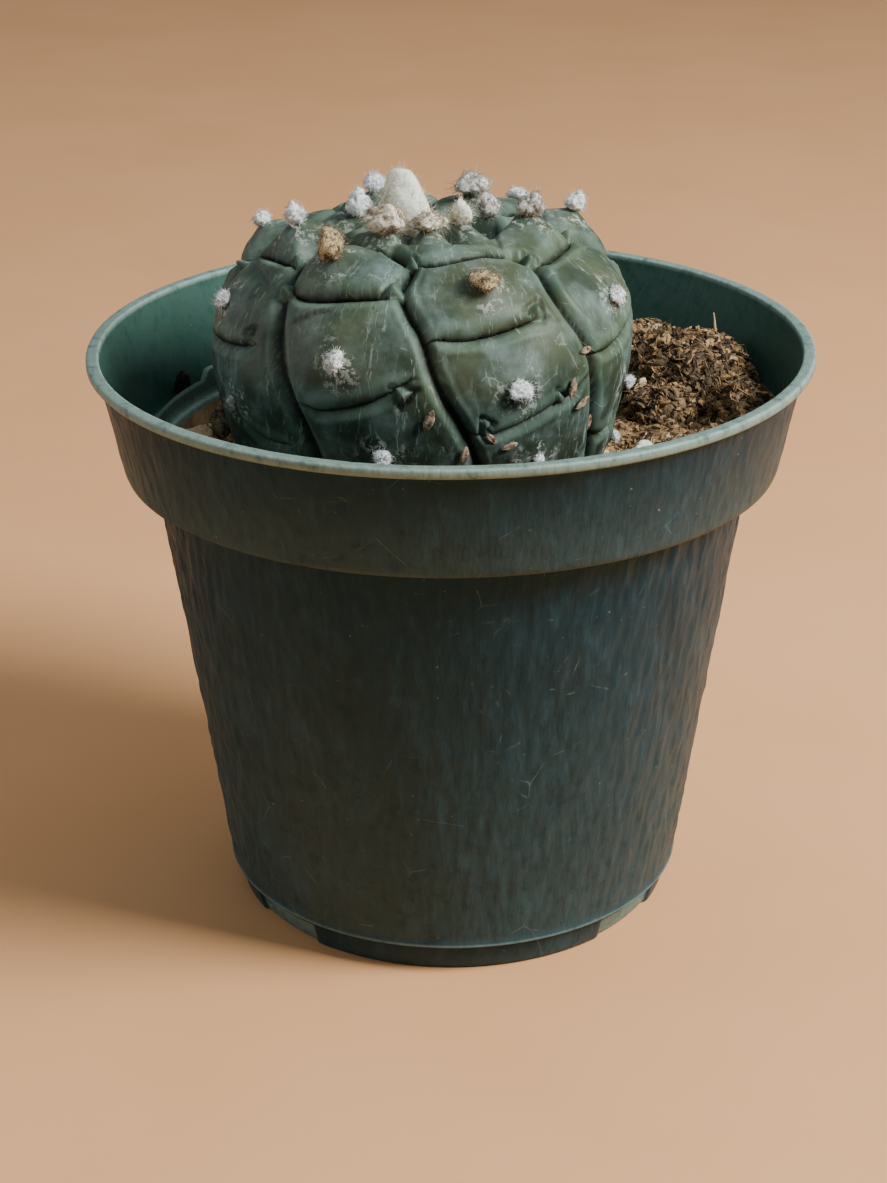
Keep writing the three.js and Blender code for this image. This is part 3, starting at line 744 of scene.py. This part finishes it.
# Furrows between ribs, from the crown down: depth, half width, then (turn, distance) points.
FURROWS = [
    (1.9, 0.5, [(-108, 15), (-96, 17.8), (-98, 22.5), (-95, 26), (-91, 29), (-88, 33.5), (-85, 37),
                (-81, 40.5), (-77, 45), (-74, 52), (-72, 62)]),
    (1.9, 0.5, [(-49, 18.3), (-44, 21), (-46, 25), (-45, 28.5), (-42, 31.5), (-40, 35), (-39, 38),
                (-37, 42), (-35, 46), (-32, 52), (-30, 62)]),
    (1.5, 1.0, [(-136, 14.5), (-146, 17.5), (-143, 21.5), (-139, 25.5), (-135, 29.5), (-131, 34),
                (-126, 39), (-122, 44), (-119, 52), (-117, 62)]),
    (1.9, 0.6, [(-12, 13), (-7, 17), (-5, 20.5), (1, 24), (3, 29), (5, 34), (8, 41), (10, 49),
                (12, 62)]),
    (1.9, 0.6, [(28, 11), (34, 16), (40, 23), (43, 29), (46, 36), (49, 43), (52, 50), (54, 62)]),
    (1.9, 0.6, [(90, 10), (82, 16), (85, 23), (88, 29), (91, 36), (94, 43), (97, 50), (99, 62)]),
    (1.9, 0.6, [(152, 10), (143, 16), (134, 22), (136, 29), (139, 36), (141, 43), (144, 50),
                (146, 62)]),
    (1.9, 0.6, [(197, 11), (190, 16), (183, 22), (184, 28), (181, 35), (182, 42), (185, 50),
                (186, 62)]),
]

# Creases across a rib, under the lower lip of each plate: (turn, distance) points.
CREASES = [
    [(-145, 17.6), (-136, 14.6), (-122, 14.4), (-108, 15)],
    [(-96, 17.8), (-81, 16.7), (-65, 16), (-57, 16.6), (-49, 18.3)],
    [(-44, 20.8), (-35, 20.6), (-22, 20.2), (-6, 20.4)],
    [(-178, 24), (-165, 22.4), (-152, 21.6), (-144, 21.6)],
    [(-143, 22.5), (-138, 24.5), (-131, 25.5), (-123, 25.2), (-114, 24.4), (-104, 23.7), (-97, 23.6)],
    [(-123, 38.6), (-117, 38.8), (-110, 38), (-104, 37), (-99, 35.6), (-93, 34)],
    [(-90, 29.8), (-86, 29.2), (-78, 29.3), (-69, 28.8), (-61, 28.2), (-54, 28.2)],
    [(-80, 41), (-75, 41.8), (-67, 41), (-61, 40.2), (-54, 39), (-48, 38.3), (-42, 36.5)],
    [(-41, 34.2), (-34, 34.4), (-21, 33.8), (-10, 33), (2, 31.5)],
    [(-178, 36), (-168, 35.4), (-158, 34.6), (-149, 33.8), (-141, 33)],
    [(-148, 43.4), (-139, 45.4), (-128, 45.2)],
    [(-37, 46), (-28, 47.4), (-16, 47), (-4, 45)],
    [(-119, 52), (-106, 53.6), (-92, 52), (-80, 50)],
    [(-74, 52), (-62, 54), (-46, 53.6), (-34, 51)],
    [(-6, 15), (8, 15.2), (22, 14.4), (30, 14)], [(2, 26), (14, 27.6), (28, 27.4), (40, 25.5)],
    [(6, 38), (18, 40), (33, 39.6), (46, 37)], [(10, 51), (24, 53), (38, 52.6), (50, 50)],
    [(35, 17.5), (48, 17.8), (64, 17.4), (80, 17)], [(43, 29.5), (56, 31), (74, 30.6), (86, 28)],
    [(47, 41), (60, 43), (76, 42.4), (91, 39)], [(84, 18), (98, 16.6), (122, 17.2), (141, 17.5)],
    [(87, 27), (98, 28.6), (116, 28.8), (134, 26)], [(92, 39), (104, 41), (122, 40.6), (138, 38)],
    [(146, 15), (160, 14.6), (178, 15), (190, 15.6)], [(136, 27), (148, 28.6), (166, 28.4), (182, 26)],
    [(140, 40), (152, 42), (168, 41.6), (180, 39)],
]

# Small pinched chins where creases end: turn, distance from the crown, size, which way they point.
CHINS = [
    (-100.5, 22.6, 1.4, 90), (-138.5, 25.6, 1.2, 200), (-146, 20.6, 0.9, 0), (-95.5, 36.2, 1.4, 160),
    (-56, 27.2, 1.2, 250), (-95.5, 17.0, 0.9, 90), (-44, 19.6, 1.0, 90), (-7, 19.6, 1.0, 80),
    (-144, 32, 0.9, 0), (-74.5, 40.3, 0.9, 180), (-53, 38.2, 0.9, 60), (42, 26.2, 1.2, 90),
    (88, 28.4, 1.2, 90), (136, 27.2, 1.2, 90), (139, 39.2, 1.1, 0), (92.5, 40, 1.1, 60),
    (47, 38.6, 1.1, 120), (183, 26.8, 1.1, 90),
]

CREASE_DEPTH = 1.2
CREASE_WIDTH = 0.5
SWELL = 2.1  # height of the tubercles above the bare section
FOOT_DRAW = 0.07  # share of its radius by which the stem draws in at its foot
FOOT_DRAW_TURN = -5
TANGENT_STEP = 0.6
CROWN_REACH = 12.5  # distance from the crown within which the young tubercles crowd together


def section_at(along):
    """Radius and height on the bare section at a distance from the crown, and its tangent there."""
    def spot(distance):
        return np.stack([np.interp(distance, SECTION_LENGTH, SECTION[:, i]) for i in (0, 1)], axis=-1)

    here = spot(along)
    tangent = unit(spot(along + TANGENT_STEP) - spot(np.maximum(along - TANGENT_STEP, 0)))
    return here[..., 0], here[..., 1], tangent


def bare_skin(turn, along):
    """Points on the swept section, with outward normals and downward tangents."""
    r, z, tangent = section_at(along)
    a = np.radians(turn)
    # The stem draws in towards its foot on its right side.
    side = np.maximum(np.cos(a - np.radians(FOOT_DRAW_TURN)), 0) ** 2
    r = r * (1 - FOOT_DRAW * side * smoothstep(24, 46, along))
    c, s = np.cos(a), np.sin(a)
    out, drop = tangent[..., 0], tangent[..., 1]
    point = np.stack([STEM_X + r * c, STEM_Y + r * s, POT_HEIGHT + z], axis=-1)
    normal = np.stack([-drop * c, -drop * s, out], axis=-1)
    down = np.stack([out * c, out * s, drop], axis=-1)
    return point, normal, down


def one_spot(turn, along):
    return np.array([float(turn)]), np.array([float(along)])


def skin_frame(turn, along):
    """Point on the finished skin at one turn and distance, with the bare skin's normal and tangent."""
    turn, along = one_spot(turn, along)
    _, normal, down = bare_skin(turn, along)
    return skin_shape(turn, along)[0][0], normal[0], down[0]


def areole_points():
    turns, alongs = np.array([row[1:3] for row in AREOLES], float).T
    return bare_skin(turns, alongs)[0], alongs


AREOLE_POINTS, AREOLE_ALONG = areole_points()
SKIN_NOISE = Noise(21)


def curve_distance(points, marks):
    """Distance from each point to a curve drawn on the skin.

    Also the curve's own distance from the crown there, and how far along it that is, from 0 to 1.
    """
    smooth, length = catmull_rom(marks, 5)
    line = bare_skin(smooth[:, 0], smooth[:, 1])[0]
    best = np.full(len(points), 99.0)
    level = np.zeros(len(points))
    share = np.zeros(len(points))
    close = np.all((points > line.min(0) - 7) & (points < line.max(0) + 7), axis=1)
    near = points[close]
    found, at, part = best[close], level[close], share[close]
    for i in range(len(line) - 1):
        step = line[i + 1] - line[i]
        t = np.clip((near - line[i]) @ step / (step @ step), 0, 1)
        d = np.linalg.norm(near - line[i] - t[:, None] * step, axis=1)
        better = d < found
        found = np.where(better, d, found)
        at = np.where(better, smooth[i, 1] + t * (smooth[i + 1, 1] - smooth[i, 1]), at)
        part = np.where(better, (length[i] + t * (length[i + 1] - length[i])) / length[-1], part)
    best[close], level[close], share[close] = found, at, part
    return best, level, share


def crown_crowding(points, along):
    """Depth of the folds between the young tubercles round the growing point."""
    young = AREOLE_POINTS[AREOLE_ALONG < 19]
    distance = np.sort(np.linalg.norm(points[:, None] - young[None], axis=2), axis=1)
    edge = (distance[:, 1] - distance[:, 0]) * 0.6
    fold = 1.5 * np.exp(-edge / 1.1)
    return fold * smoothstep(CROWN_REACH + 2, CROWN_REACH - 2, along), edge


def add_chins(points, height, edge):
    """Presses each small three-cornered chin into the folds."""
    for turn, along, size, heading in CHINS:
        at, normal, down = (v[0] for v in bare_skin(*one_spot(turn, along)))
        side = np.cross(normal, down)
        offset = points - at
        close = np.linalg.norm(offset, axis=1) < 3 * size
        u, v = offset[close] @ side, offset[close] @ down
        reach = np.full(close.sum(), -9.0)
        for corner in (0, 120, 240):
            a = math.radians(heading + corner)
            reach = np.maximum(reach, u * math.cos(a) + v * math.sin(a))
        reach = reach / (0.62 * size)
        mound = 0.9 + 1.9 * (1 - smoothstep(0, 1.5, reach))
        inside = 1 - smoothstep(1.1, 1.5, reach)
        height[close] += inside * (mound - height[close])
        edge[close] = np.maximum(edge[close], np.where(reach < 1.3, 1.0 + 0.5 * (1.3 - reach), 0))
    return height, edge


def skin_shape(turn, along):
    """Finished skin points, with the distance to the nearest groove and to the nearest areole."""
    point, normal, down = bare_skin(turn, along)
    wobble = 0.3 * SKIN_NOISE(point, 3.5)
    drop, nearest = crown_crowding(point, along)
    nearest = np.where(along < CROWN_REACH + 1, nearest, 99)
    welt = np.zeros(len(point))
    shift = np.zeros(len(point))
    for depth, width, marks in FURROWS:
        d, _, _ = curve_distance(point, marks)
        d = np.abs(d + wobble * smoothstep(0.5, 2, d))
        dip = depth * np.exp(-((d / width) ** 0.9)) + 0.22 * np.exp(-((d / 2.0) ** 1.5))
        drop = np.maximum(drop, dip)
        welt = np.maximum(welt, 0.22 * np.exp(-(((d - 1.5) / 0.45) ** 2)))
        welt = np.maximum(welt, 0.10 * np.exp(-(((d - 2.7) / 0.4) ** 2)))
        nearest = np.minimum(nearest, d)
    for marks in CREASES:
        d, level, share = curve_distance(point, marks)
        taper = np.clip(4 * np.minimum(share, 1 - share) + 0.35, 0, 1)
        above = along < level
        # The lip above a crease is full and sharp and hangs over it; the skin below slopes in to it.
        sharp = np.exp(-((d / np.where(above, 0.35, CREASE_WIDTH * 1.7)) ** 1.1))
        drop = np.maximum(drop, CREASE_DEPTH * taper * sharp)
        full = 0.3 * np.exp(-(((d - 0.9) / 0.9) ** 2))
        slight = 0.16 * np.exp(-(((d - 1.9) / 0.5) ** 2))
        welt = np.maximum(welt, taper * np.where(above, full, slight))
        shift = np.maximum(shift, np.where(above, 0.7 * taper * np.exp(-((d / 1.0) ** 2)), 0))
        nearest = np.minimum(nearest, d / np.maximum(taper, 0.3))
    height = SWELL - drop + welt
    # Every plate is a little domed between its grooves.
    height = height + 0.18 * smoothstep(0.5, 7, np.minimum(nearest, 9))
    height, nearest = add_chins(point, height, nearest)

    to_areole = np.linalg.norm(point[:, None] - AREOLE_POINTS[None], axis=2)
    near = to_areole.argmin(axis=1)
    reach = to_areole[np.arange(len(point)), near]
    level = AREOLE_ALONG[near]
    young = smoothstep(30, 16, level) * (1 - 0.6 * smoothstep(14.5, 10, level))
    cone = np.exp(-((reach / 4.4) ** 1.15)) * smoothstep(0.2, 2.2, nearest)
    height = height + (0.3 + 3.3 * young) * cone
    height = height + 0.3 * np.exp(-((reach / 1.5) ** 2)) * (1 - young)

    height = height + 0.3 * SKIN_NOISE(point, 9.0) + 0.05 * SKIN_NOISE.layers(point, 2.6)
    fade = smoothstep(SKIN_END, SKIN_END - 5, along)
    shaped = point + normal * (height * fade)[:, None] + down * (shift * fade)[:, None]
    return shaped, nearest, reach


def build_stem():
    columns = 470
    skin_rows, root_rows = 190, 8
    along = np.concatenate([
        np.linspace(0.35, SKIN_END, skin_rows),
        np.linspace(SKIN_END, SECTION_LENGTH[-1] - 1, root_rows + 1)[1:],
    ])
    turns = np.arange(columns) * 360 / columns
    turn, far = (a.ravel() for a in np.meshgrid(turns, along))
    points, edge, reach = skin_shape(turn, far)
    # Darker towards the foot: the skin's age, with painted shade from the pot's rim.
    age_and_shade = smoothstep(30, 56, far + 4 * SKIN_NOISE(points, 7))
    top = points[:columns].mean(axis=0)
    tip = bare_skin(np.array([0.0]), SECTION_LENGTH[-1:])[0][0]
    verts = np.vstack([points, top, tip])
    faces = [f[:, ::-1] for f in closed_faces(len(along), columns)]
    a = np.radians(turn)
    flow = np.stack([30 * np.cos(a), 30 * np.sin(a), 0.12 * far], axis=1)
    attributes = {
        "flow": np.vstack([flow, np.zeros((2, 3))]),
        "edge": np.append(edge, [9, 9]),
        "areole": np.append(reach, [9, 9]),
        "age_and_shade": np.append(age_and_shade, [0, 1]),
    }
    stem = make_mesh("cactus_body", verts, faces, SKIN, True, attributes)
    place(stem, "cactus_skin", "cactus_stem")


# ---- wool

def faceted(directions, rng, facets=12, soft=0.09):
    """Radius of a body cut by random planes, in each direction: a crumpled, wedge-like lump."""
    facing = unit(rng.normal(size=(facets, 3)))
    offset = rng.uniform(0.62, 0.98, facets)
    reach = directions @ facing.T
    cut = np.where(reach > 0.05, offset / np.maximum(reach, 0.05), 9)
    cut = np.minimum(cut, 1.15)
    return -soft * np.log(np.exp(-cut / soft).sum(axis=1))


def add_fur(heap, roots, lean, length, rng, radius, spread=0.0):
    """Adds a short curling fibre at each root, leaning its own way."""
    steps = np.linspace(0, 1, 4)[None, :, None]
    curl = rng.normal(size=(len(roots), 1, 3)) * 0.3
    paths = roots[:, None] + length[:, None, None] * (steps * lean[:, None] + steps ** 2 * curl)
    radii = radius * (1 - 0.75 * steps[..., 0]) * rng.uniform(1 - spread, 1 + spread, (len(roots), 1))
    verts, faces = strands(paths, radii)
    heap.add(verts, faces, 0.5)


def tuft(name, foot, axis, width, height, wool, seed):
    """A knob of wool standing on foot along axis: a crumpled core with short matted fibres on it."""
    fibres = 420
    longest = 0.26 if wool == "white" else 0.36  # of the tuft's width
    rng = np.random.default_rng(seed)
    noise = Noise(seed)
    ball, faces = BALL
    creased = 1 - np.abs(noise.layers(ball + 3, 0.8, 4, 0.6))
    radius = 1.03 * faceted(ball, rng) + 0.18 * (creased - 0.7)
    radius += 0.05 * noise.layers(ball, 0.25, 3, 0.7)
    lift = ball[:, 2]
    shape = ball * radius[:, None] * [width / 2, width / 2, height / 2]
    # It is fullest a little below the middle, and comes to a blunt peak.
    girth = 1.12 - 0.32 * smoothstep(-0.2, 1, lift) - 0.2 * smoothstep(-0.4, -1, lift)
    shape[:, :2] *= girth[:, None]
    first, second = frames(np.array([axis]), rng)
    body = (shape + [0, 0, 0.24 * height]) @ np.vstack([first, second, axis]) + foot
    heap = Heap()
    # Painted shade and light: the wool is darker down in its creases and lighter towards the top.
    heap.add(body[None], [faces], (0.2 + 0.7 * creased + 0.16 * lift)[None])
    roots, out = sample_surface(body, faces, fibres, rng)
    sideways, _ = frames(out, rng)
    length = rng.uniform(0.12, longest, fibres) * width
    add_fur(heap, roots - 0.03 * out, unit(0.26 * out + sideways), length, rng, 0.045, 0.3)
    slot = "old_wool" if wool in OLD_WOOLS else "wool"
    place(heap.mesh("tuft_" + name, WOOLS[wool]), slot, "wool_" + name)


def build_crown():
    """The new wool over the growing point: a tall soft cone, leaning a little, with a ragged skirt."""
    fibres = 900
    rng = np.random.default_rng(77)
    noise = Noise(77)
    ball, faces = BALL
    lift = (ball[:, 2] + 1) / 2
    shape = ball * [4.1, 3.6, 5.5]
    shape[:, :2] *= (1.12 - 0.42 * smoothstep(0.15, 0.95, lift))[:, None]
    shape *= (1 + 0.1 * noise.layers(ball, 0.9, 4, 0.5))[:, None]
    shape[:, 0] -= 0.9 * lift
    foot, _, _ = skin_frame(172, 3)
    body = shape + foot + [0, 0, 2.6]
    tone = (0.75 + 0.5 * noise.layers(ball, 0.5, 3)) * smoothstep(-0.2, 0.35, lift)
    heap = Heap()
    heap.add(body[None], [faces], tone[None])
    roots, out = sample_surface(body, faces, fibres, rng)
    sideways, _ = frames(out, rng)
    low = smoothstep(foot[2] + 6, foot[2], roots[:, 2])[:, None]
    lean = unit((0.05 + 0.7 * low) * out + 0.4 * sideways + [0, 0, 0.6])
    add_fur(heap, roots - 0.06 * out, lean, rng.uniform(0.5, 1.3, fibres), rng, 0.03)
    place(heap.mesh("tuft_crown", WOOLS["cream"]), "wool", "wool_crown")


def build_wool():
    for i, (name, turn, along, width, height, wool) in enumerate(AREOLES):
        foot, normal, _ = skin_frame(turn, along)
        tuft(name, foot, unit(normal + [0, 0, 0.3]), width, height, wool, 100 + i)
    build_crown()


# ---- potting mix

SOIL_NOISE = Noise(31)


def soil_height(x, y):
    """The mix's surface: low at the left, banked up to the right, hollowed round the stem."""
    bank = 3.4 * np.tanh(x / 22)
    lumps = 0.7 * np.sin(0.31 * x + 0.5) * np.sin(0.27 * y + 1.2) + 0.4 * np.sin(0.6 * x - 0.5 * y)
    from_stem = np.hypot(x - STEM_X, y - STEM_Y)
    hollow = 2.4 * (1 - smoothstep(26, 38, from_stem))
    return SOIL_Z + bank + lumps - hollow


def litter(heap, points, normals, rng, kind, lift):
    """Adds curling fibres or flat crumbs lying on a surface. lift makes them paler."""
    count = len(points)
    ahead, across = frames(normals, rng)
    if kind == "fibre":
        steps = np.linspace(0, 1, 6)[None, :, None]
        length = rng.uniform(0.9, 3.4, (count, 1, 1)) * rng.uniform(0.7, 1.3, (count, 1, 1))
        bend = rng.normal(0, 0.7, (count, 1, 1))
        rise = rng.uniform(-0.02, 0.22, (count, 1, 1))
        arch = steps * (1 - steps)
        bow = arch * (bend * across[:, None] + rise * normals[:, None])
        paths = points[:, None] + length * ((steps - 0.5) * ahead[:, None] + bow)
        paths = paths + 0.15 * normals[:, None]
        paths = keep_inside(paths.reshape(-1, 3), 0.5).reshape(paths.shape)
        radii = rng.uniform(0.05, 0.17, (count, 1)) * (1 - 0.6 * np.abs(2 * steps[..., 0] - 1))
        verts, faces = strands(paths, radii)
        heap.add(verts, faces, rng.beta(2.4, 2.8, count) + lift)
        return
    ball, faces = CRUMB_BALL
    size = rng.uniform(0.35, 1.15, (count, 1, 1)) * rng.uniform(0.5, 1, (count, 1, 1))
    flat = rng.uniform([0.6, 0.35, 0.2], [1.6, 0.9, 0.5], (count, 3))[:, None]
    bumps = 1 + 0.3 * rng.normal(size=(count, len(ball), 1)).clip(-1, 1)
    local = ball[None] * flat * size * bumps
    tilt = unit(normals + 0.5 * rng.normal(size=(count, 3)))
    ahead, across = frames(tilt, rng)
    basis = np.stack([ahead, across, tilt], axis=1)
    verts = local @ basis + points[:, None]
    verts = keep_inside(verts.reshape(-1, 3), 0.4).reshape(verts.shape)
    heap.add(verts, [faces], rng.beta(2.0, 2.4, count) + lift)


def keep_inside(points, margin):
    """Moves points in from the pot's wall where they are too near it."""
    reach = np.hypot(points[:, 0], points[:, 1])
    limit = wall_radius(points[:, 2]) - margin
    points[:, :2] *= np.minimum(1, limit / np.maximum(reach, 1e-6))[:, None]
    return points


def scatter(name, kind, verts, triangles, count, rng, keep, lift=0.0, front_painted_light=0.0, margin=0.0):
    """Litter over a surface as one piece, with painted light making the pieces at the front paler."""
    spots, normals = sample_surface(verts, triangles, count, rng, keep)
    if margin:
        keep_inside(spots, margin)
    heap = Heap()
    # Painted light: the pieces at the front are made paler.
    litter(heap, spots, normals, rng, kind, lift + front_painted_light * (spots[:, 1] < 0))
    place(heap.mesh(name, PEAT, smooth=kind == "fibre"), "peat")


def soil_reach(turns, lug):
    """How far out the mix goes at each turn: up to the wall, or to the ledge where it lies lower."""
    rng = np.random.default_rng(29)
    reach = np.full(len(turns), 47.0)
    for _ in range(4):
        level = soil_height(reach * np.cos(turns), reach * np.sin(turns))
        above = level > LEDGE_Z + np.where(lug, LUG_HEIGHT, 0) + 0.8
        high = wall_radius(np.maximum(level, LEDGE_Z + 0.1))
        low = np.minimum(wall_radius(np.minimum(level, LEDGE_Z)), INNER_TOP)
        reach = np.where(above, high, low) - 0.25
    # Where the mix thins out over the ledge its edge runs in at a slant.
    for _ in range(16):
        beside = np.minimum(np.roll(reach, 1), np.roll(reach, -1))
        reach = np.minimum(reach, beside + rng.uniform(0.15, 0.6, len(turns)))
    return reach


def build_soil():
    columns, rings = 320, 84
    turns = np.arange(columns) * 2 * np.pi / columns
    lug = in_sectors(np.degrees(turns), LUG_TURNS, LUG_SPAN + 1, 1.0) > 0.02
    reach = soil_reach(turns, lug)
    r = np.linspace(0.03, 1, rings)[:, None] * reach[None]
    x, y = (r * np.cos(turns)).ravel(), (r * np.sin(turns)).ravel()
    points = np.stack([x, y, soil_height(x, y)], axis=1)
    points[:, 2] += 0.8 * SOIL_NOISE.layers(points, 5.0, 5, 0.6)
    shelf = LEDGE_Z + 0.35 + LUG_HEIGHT * np.tile(lug, rings)
    over_shelf = (np.hypot(x, y) > INNER_TOP - 1.0) & np.tile(reach > INNER_TOP, rings)
    points[:, 2] = np.where(over_shelf, np.maximum(points[:, 2], shelf), points[:, 2])

    # The sides go down the wall to a plain underside near the pot's floor.
    inner = np.minimum(reach, INNER_TOP - 0.35)
    rim_z = np.minimum(points[-columns:, 2], LEDGE_Z + 0.12)
    under_z = FLOOR_Z + 0.4
    sides = [(reach, rim_z), (inner, rim_z)]
    sides += [(np.minimum(inner, wall_radius(z) - 0.35), z) for z in (LEDGE_Z - 0.4, 40.0, 20.0)]
    sides.append((np.minimum(inner, wall_radius(under_z) - 1.15), under_z))
    skirt = [np.stack([r * np.cos(turns), r * np.sin(turns), z + 0 * turns], axis=1) for r, z in sides]
    ends = [[0, 0, points[:columns, 2].mean()], [0, 0, under_z]]
    verts = np.vstack([points] + skirt + [ends])
    faces = [f[:, ::-1] for f in closed_faces(rings + len(sides), columns)]
    tone = 0.6 + 0.22 * SOIL_NOISE.layers(verts, 3.0, 3)
    mix = make_mesh("peat_mix", verts, faces, PEAT, True, {"tone": tone})
    place(mix, "peat", "potting_mix")

    rng = np.random.default_rng(32)
    quads = ring_faces(rings, columns)[:, ::-1]
    triangles = np.vstack([quads[:, [0, 1, 2]], quads[:, [0, 2, 3]]])

    def bare(_, middles):
        return np.hypot(middles[:, 0] - STEM_X, middles[:, 1] - STEM_Y) > 26

    scatter("peat_crumbs", "crumb", points, triangles, 4700, rng, bare, 0.15, 0.1)
    scatter("peat_fibres", "fibre", points, triangles, 4200, rng, bare, 0.05, 0.1, 0.7)


# The clod's lumps: x, y, top above the mix's middle, half width, half depth.
CLOD_LUMPS = [(38, 14, 12.2, 11, 11), (30, 22, 11.2, 10, 8), (44, 2, 8, 6.5, 8), (33, 4, 7.2, 7, 6)]
CLOD_CLEAR = 32  # distance from the stem's axis within which it is pushed away


def build_clod():
    ball, faces = BALL
    heap = Heap()
    for x, y, top, wide, deep in CLOD_LUMPS:
        heap.add((ball * [wide, deep, top] + [x, y, SOIL_Z])[None], [faces], 0.5)
    rough = heap.mesh("clod_lumps", PEAT)
    remesh = rough.modifiers.new("join", "REMESH")
    remesh.mode = "VOXEL"
    remesh.voxel_size = 0.55 * MM
    bpy.context.view_layer.update()
    shape = rough.evaluated_get(bpy.context.evaluated_depsgraph_get()).to_mesh()
    shape.calc_loop_triangles()
    verts = np.array([v.co for v in shape.vertices]) / MM
    normals = np.array([v.normal for v in shape.vertices])
    triangles = np.array([t.vertices[:] for t in shape.loop_triangles])
    bpy.data.objects.remove(rough)
    noise = Noise(41)
    swell = 1.1 * noise.layers(verts, 5.5, 2, 0.6) + 0.55 * noise.layers(verts, 1.6, 3, 0.6)
    verts = verts + normals * swell[:, None]
    from_stem = np.hypot(verts[:, 0] - STEM_X, verts[:, 1] - STEM_Y)
    verts[:, 0] += 0.7 * np.maximum(CLOD_CLEAR - from_stem, 0)
    keep_inside(verts, 0.4)
    tone = 0.4 + 0.3 * noise.layers(verts, 6.0, 3)
    place(make_mesh("clod_core", verts, [triangles], PEAT, True, {"tone": tone}), "peat", "peat_clod")
    rng = np.random.default_rng(42)

    def in_view(facing, middles):
        return (facing[:, 2] > -0.3) & (middles[:, 2] > SOIL_Z + 1)

    scatter("clod_crumbs", "crumb", verts, triangles, 3000, rng, in_view, margin=1.2)
    scatter("clod_fibres", "fibre", verts, triangles, 1700, rng, in_view, margin=2.2)


# ---- loose pieces

# Perlite: x, y, half width.
GRAINS = [
    (28.4, -12.4, 1.3), (27.6, -15.6, 1.5), (28.6, -19, 1.4), (25.4, -21.6, 1.6), (-37, -12, 1.2),
    (-28, 24, 1.3), (6, 34, 1.4),
]
# Husks: turn, distance from the crown, length, heading.
HUSKS = [
    (-89, 39.2, 3.4, 70), (-80, 44.6, 3, 80), (-50, 37.4, 3.2, 75), (-45.5, 40, 3, 25),
    (-43, 33.6, 2.4, 5), (-73, 42.5, 2.4, 130), (-68, 43.8, 2.6, 15), (-36, 45, 2.8, 85),
]
# Scraps: x, y, z, half sizes, and turns about X, Y and Z in degrees.
SCRAPS = {
    "bark_flake": (-38.8, -3.2, 75, (3.3, 1.9, 0.4), (8, -4, -12)),
    "leaf_scrap": (-34.2, -2.4, 76.5, (1.7, 0.45, 3.4), (0, 14, 20)),
    "dark_crumb": (-42.7, 19.6, 74.8, (1.3, 1, 2.4), (0, 22, -30)),
    "dry_stalk": (41.5, 19.6, 84.3, (0.2, 0.2, 2), (0, -6, 0)),
}


def build_scraps():
    """The bark flake and curled leaf at the left, the crumb on the ledge and the stalk in the clod."""
    paints = {"bark_flake": PALE_BARK, "dark_crumb": DARK_CRUMB, "dry_stalk": PALE_BARK}
    ball, faces = BALL
    for i, (name, (x, y, z, half, turns)) in enumerate(SCRAPS.items()):
        rng = np.random.default_rng(400 + i)
        noise = Noise(400 + i)
        jagged = 1.05 + 0.22 * noise.layers(ball, 0.7, 4, 0.65)
        shape = ball * (0.5 * faceted(ball, rng, 14, 0.05) + 0.5 * jagged)[:, None] * half
        if name == "leaf_scrap":
            # It is curled about its length, with a split edge.
            shape[:, 1] += 0.9 * (shape[:, 0] / half[0]) ** 2 + 0.35 * np.sin(1.6 * shape[:, 2])
        if name == "bark_flake":
            shape[:, 2] += 0.35 * np.sin(1.1 * shape[:, 0]) + 0.12 * noise(shape, 0.8)
        a, b, c = (Matrix.Rotation(math.radians(t), 3, axis) for t, axis in zip(turns, "XYZ"))
        verts = shape @ np.array(c @ b @ a).T + [x, y, z]
        piece = make_mesh(name + "_look", verts, [faces], paints.get(name, HUSK))
        place(piece, "peat" if name == "dark_crumb" else "dry_husk", name)


def build_grains():
    ball, faces = BALL
    for i, (x, y, half) in enumerate(GRAINS):
        noise = Noise(200 + i)
        radius = 1 + 0.16 * noise.layers(ball, 0.8, 4, 0.6)
        radius *= 1 - 0.1 * smoothstep(0.35, 0.6, noise(ball, 0.25))
        shape = ball * radius[:, None] * [half, half, 0.85 * half]
        verts = shape + [x, y, soil_height(x, y) + half + 0.4]
        piece = make_mesh(f"perlite_{i + 1}", verts, [faces], PERLITE)
        place(piece, "perlite", f"perlite_grain_{i + 1}")


def husk_shape(length, seed):
    """A dry seed husk: a narrow shell with pointed ends and a split down its back."""
    rng = np.random.default_rng(seed)
    rows, columns = 22, 16
    share = np.linspace(0.02, 0.98, rows)
    around = np.arange(columns) * 2 * np.pi / columns
    girth = np.sin(np.pi * share) ** 0.7 * length * 0.21
    split = np.exp(-((turn_gap(np.degrees(around), 90) / 26) ** 2))
    r = girth[:, None] * (1 - 0.55 * split[None]) * (1 + 0.06 * rng.normal(size=(rows, 1)))
    x = (share[:, None] - 0.5) * length + 0 * r
    y = r * np.cos(around)
    z = 0.55 * r * np.sin(around) + 0.06 * length * np.cos(2 * x / length)
    points = np.stack([x, y, z], axis=-1).reshape(-1, 3)
    ends = [[-0.5 * length, 0, 0.03 * length], [0.5 * length, 0, 0.03 * length]]
    verts = np.vstack([points, ends])
    return verts, closed_faces(rows, columns)


def build_husks():
    for i, (turn, along, length, heading) in enumerate(HUSKS):
        foot, normal, down = skin_frame(turn, along)
        a = math.radians(heading)
        ahead = math.cos(a) * np.cross(normal, down) - math.sin(a) * down
        across = np.cross(normal, ahead)
        verts, faces = husk_shape(length, 300 + i)
        verts = verts @ np.vstack([ahead, across, normal]) + foot + normal * 0.35
        piece = make_mesh(f"husk_{i + 1}", verts, faces, HUSK)
        place(piece, "dry_husk", f"dry_husk_{i + 1}")


# ---- assembly

add_camera()
add_world()
add_floor()
for light_name, settings in LIGHTS.items():
    add_light(light_name, *settings)

build_pot()
build_stem()
build_wool()
build_soil()
build_clod()
build_grains()
build_scraps()
build_husks()
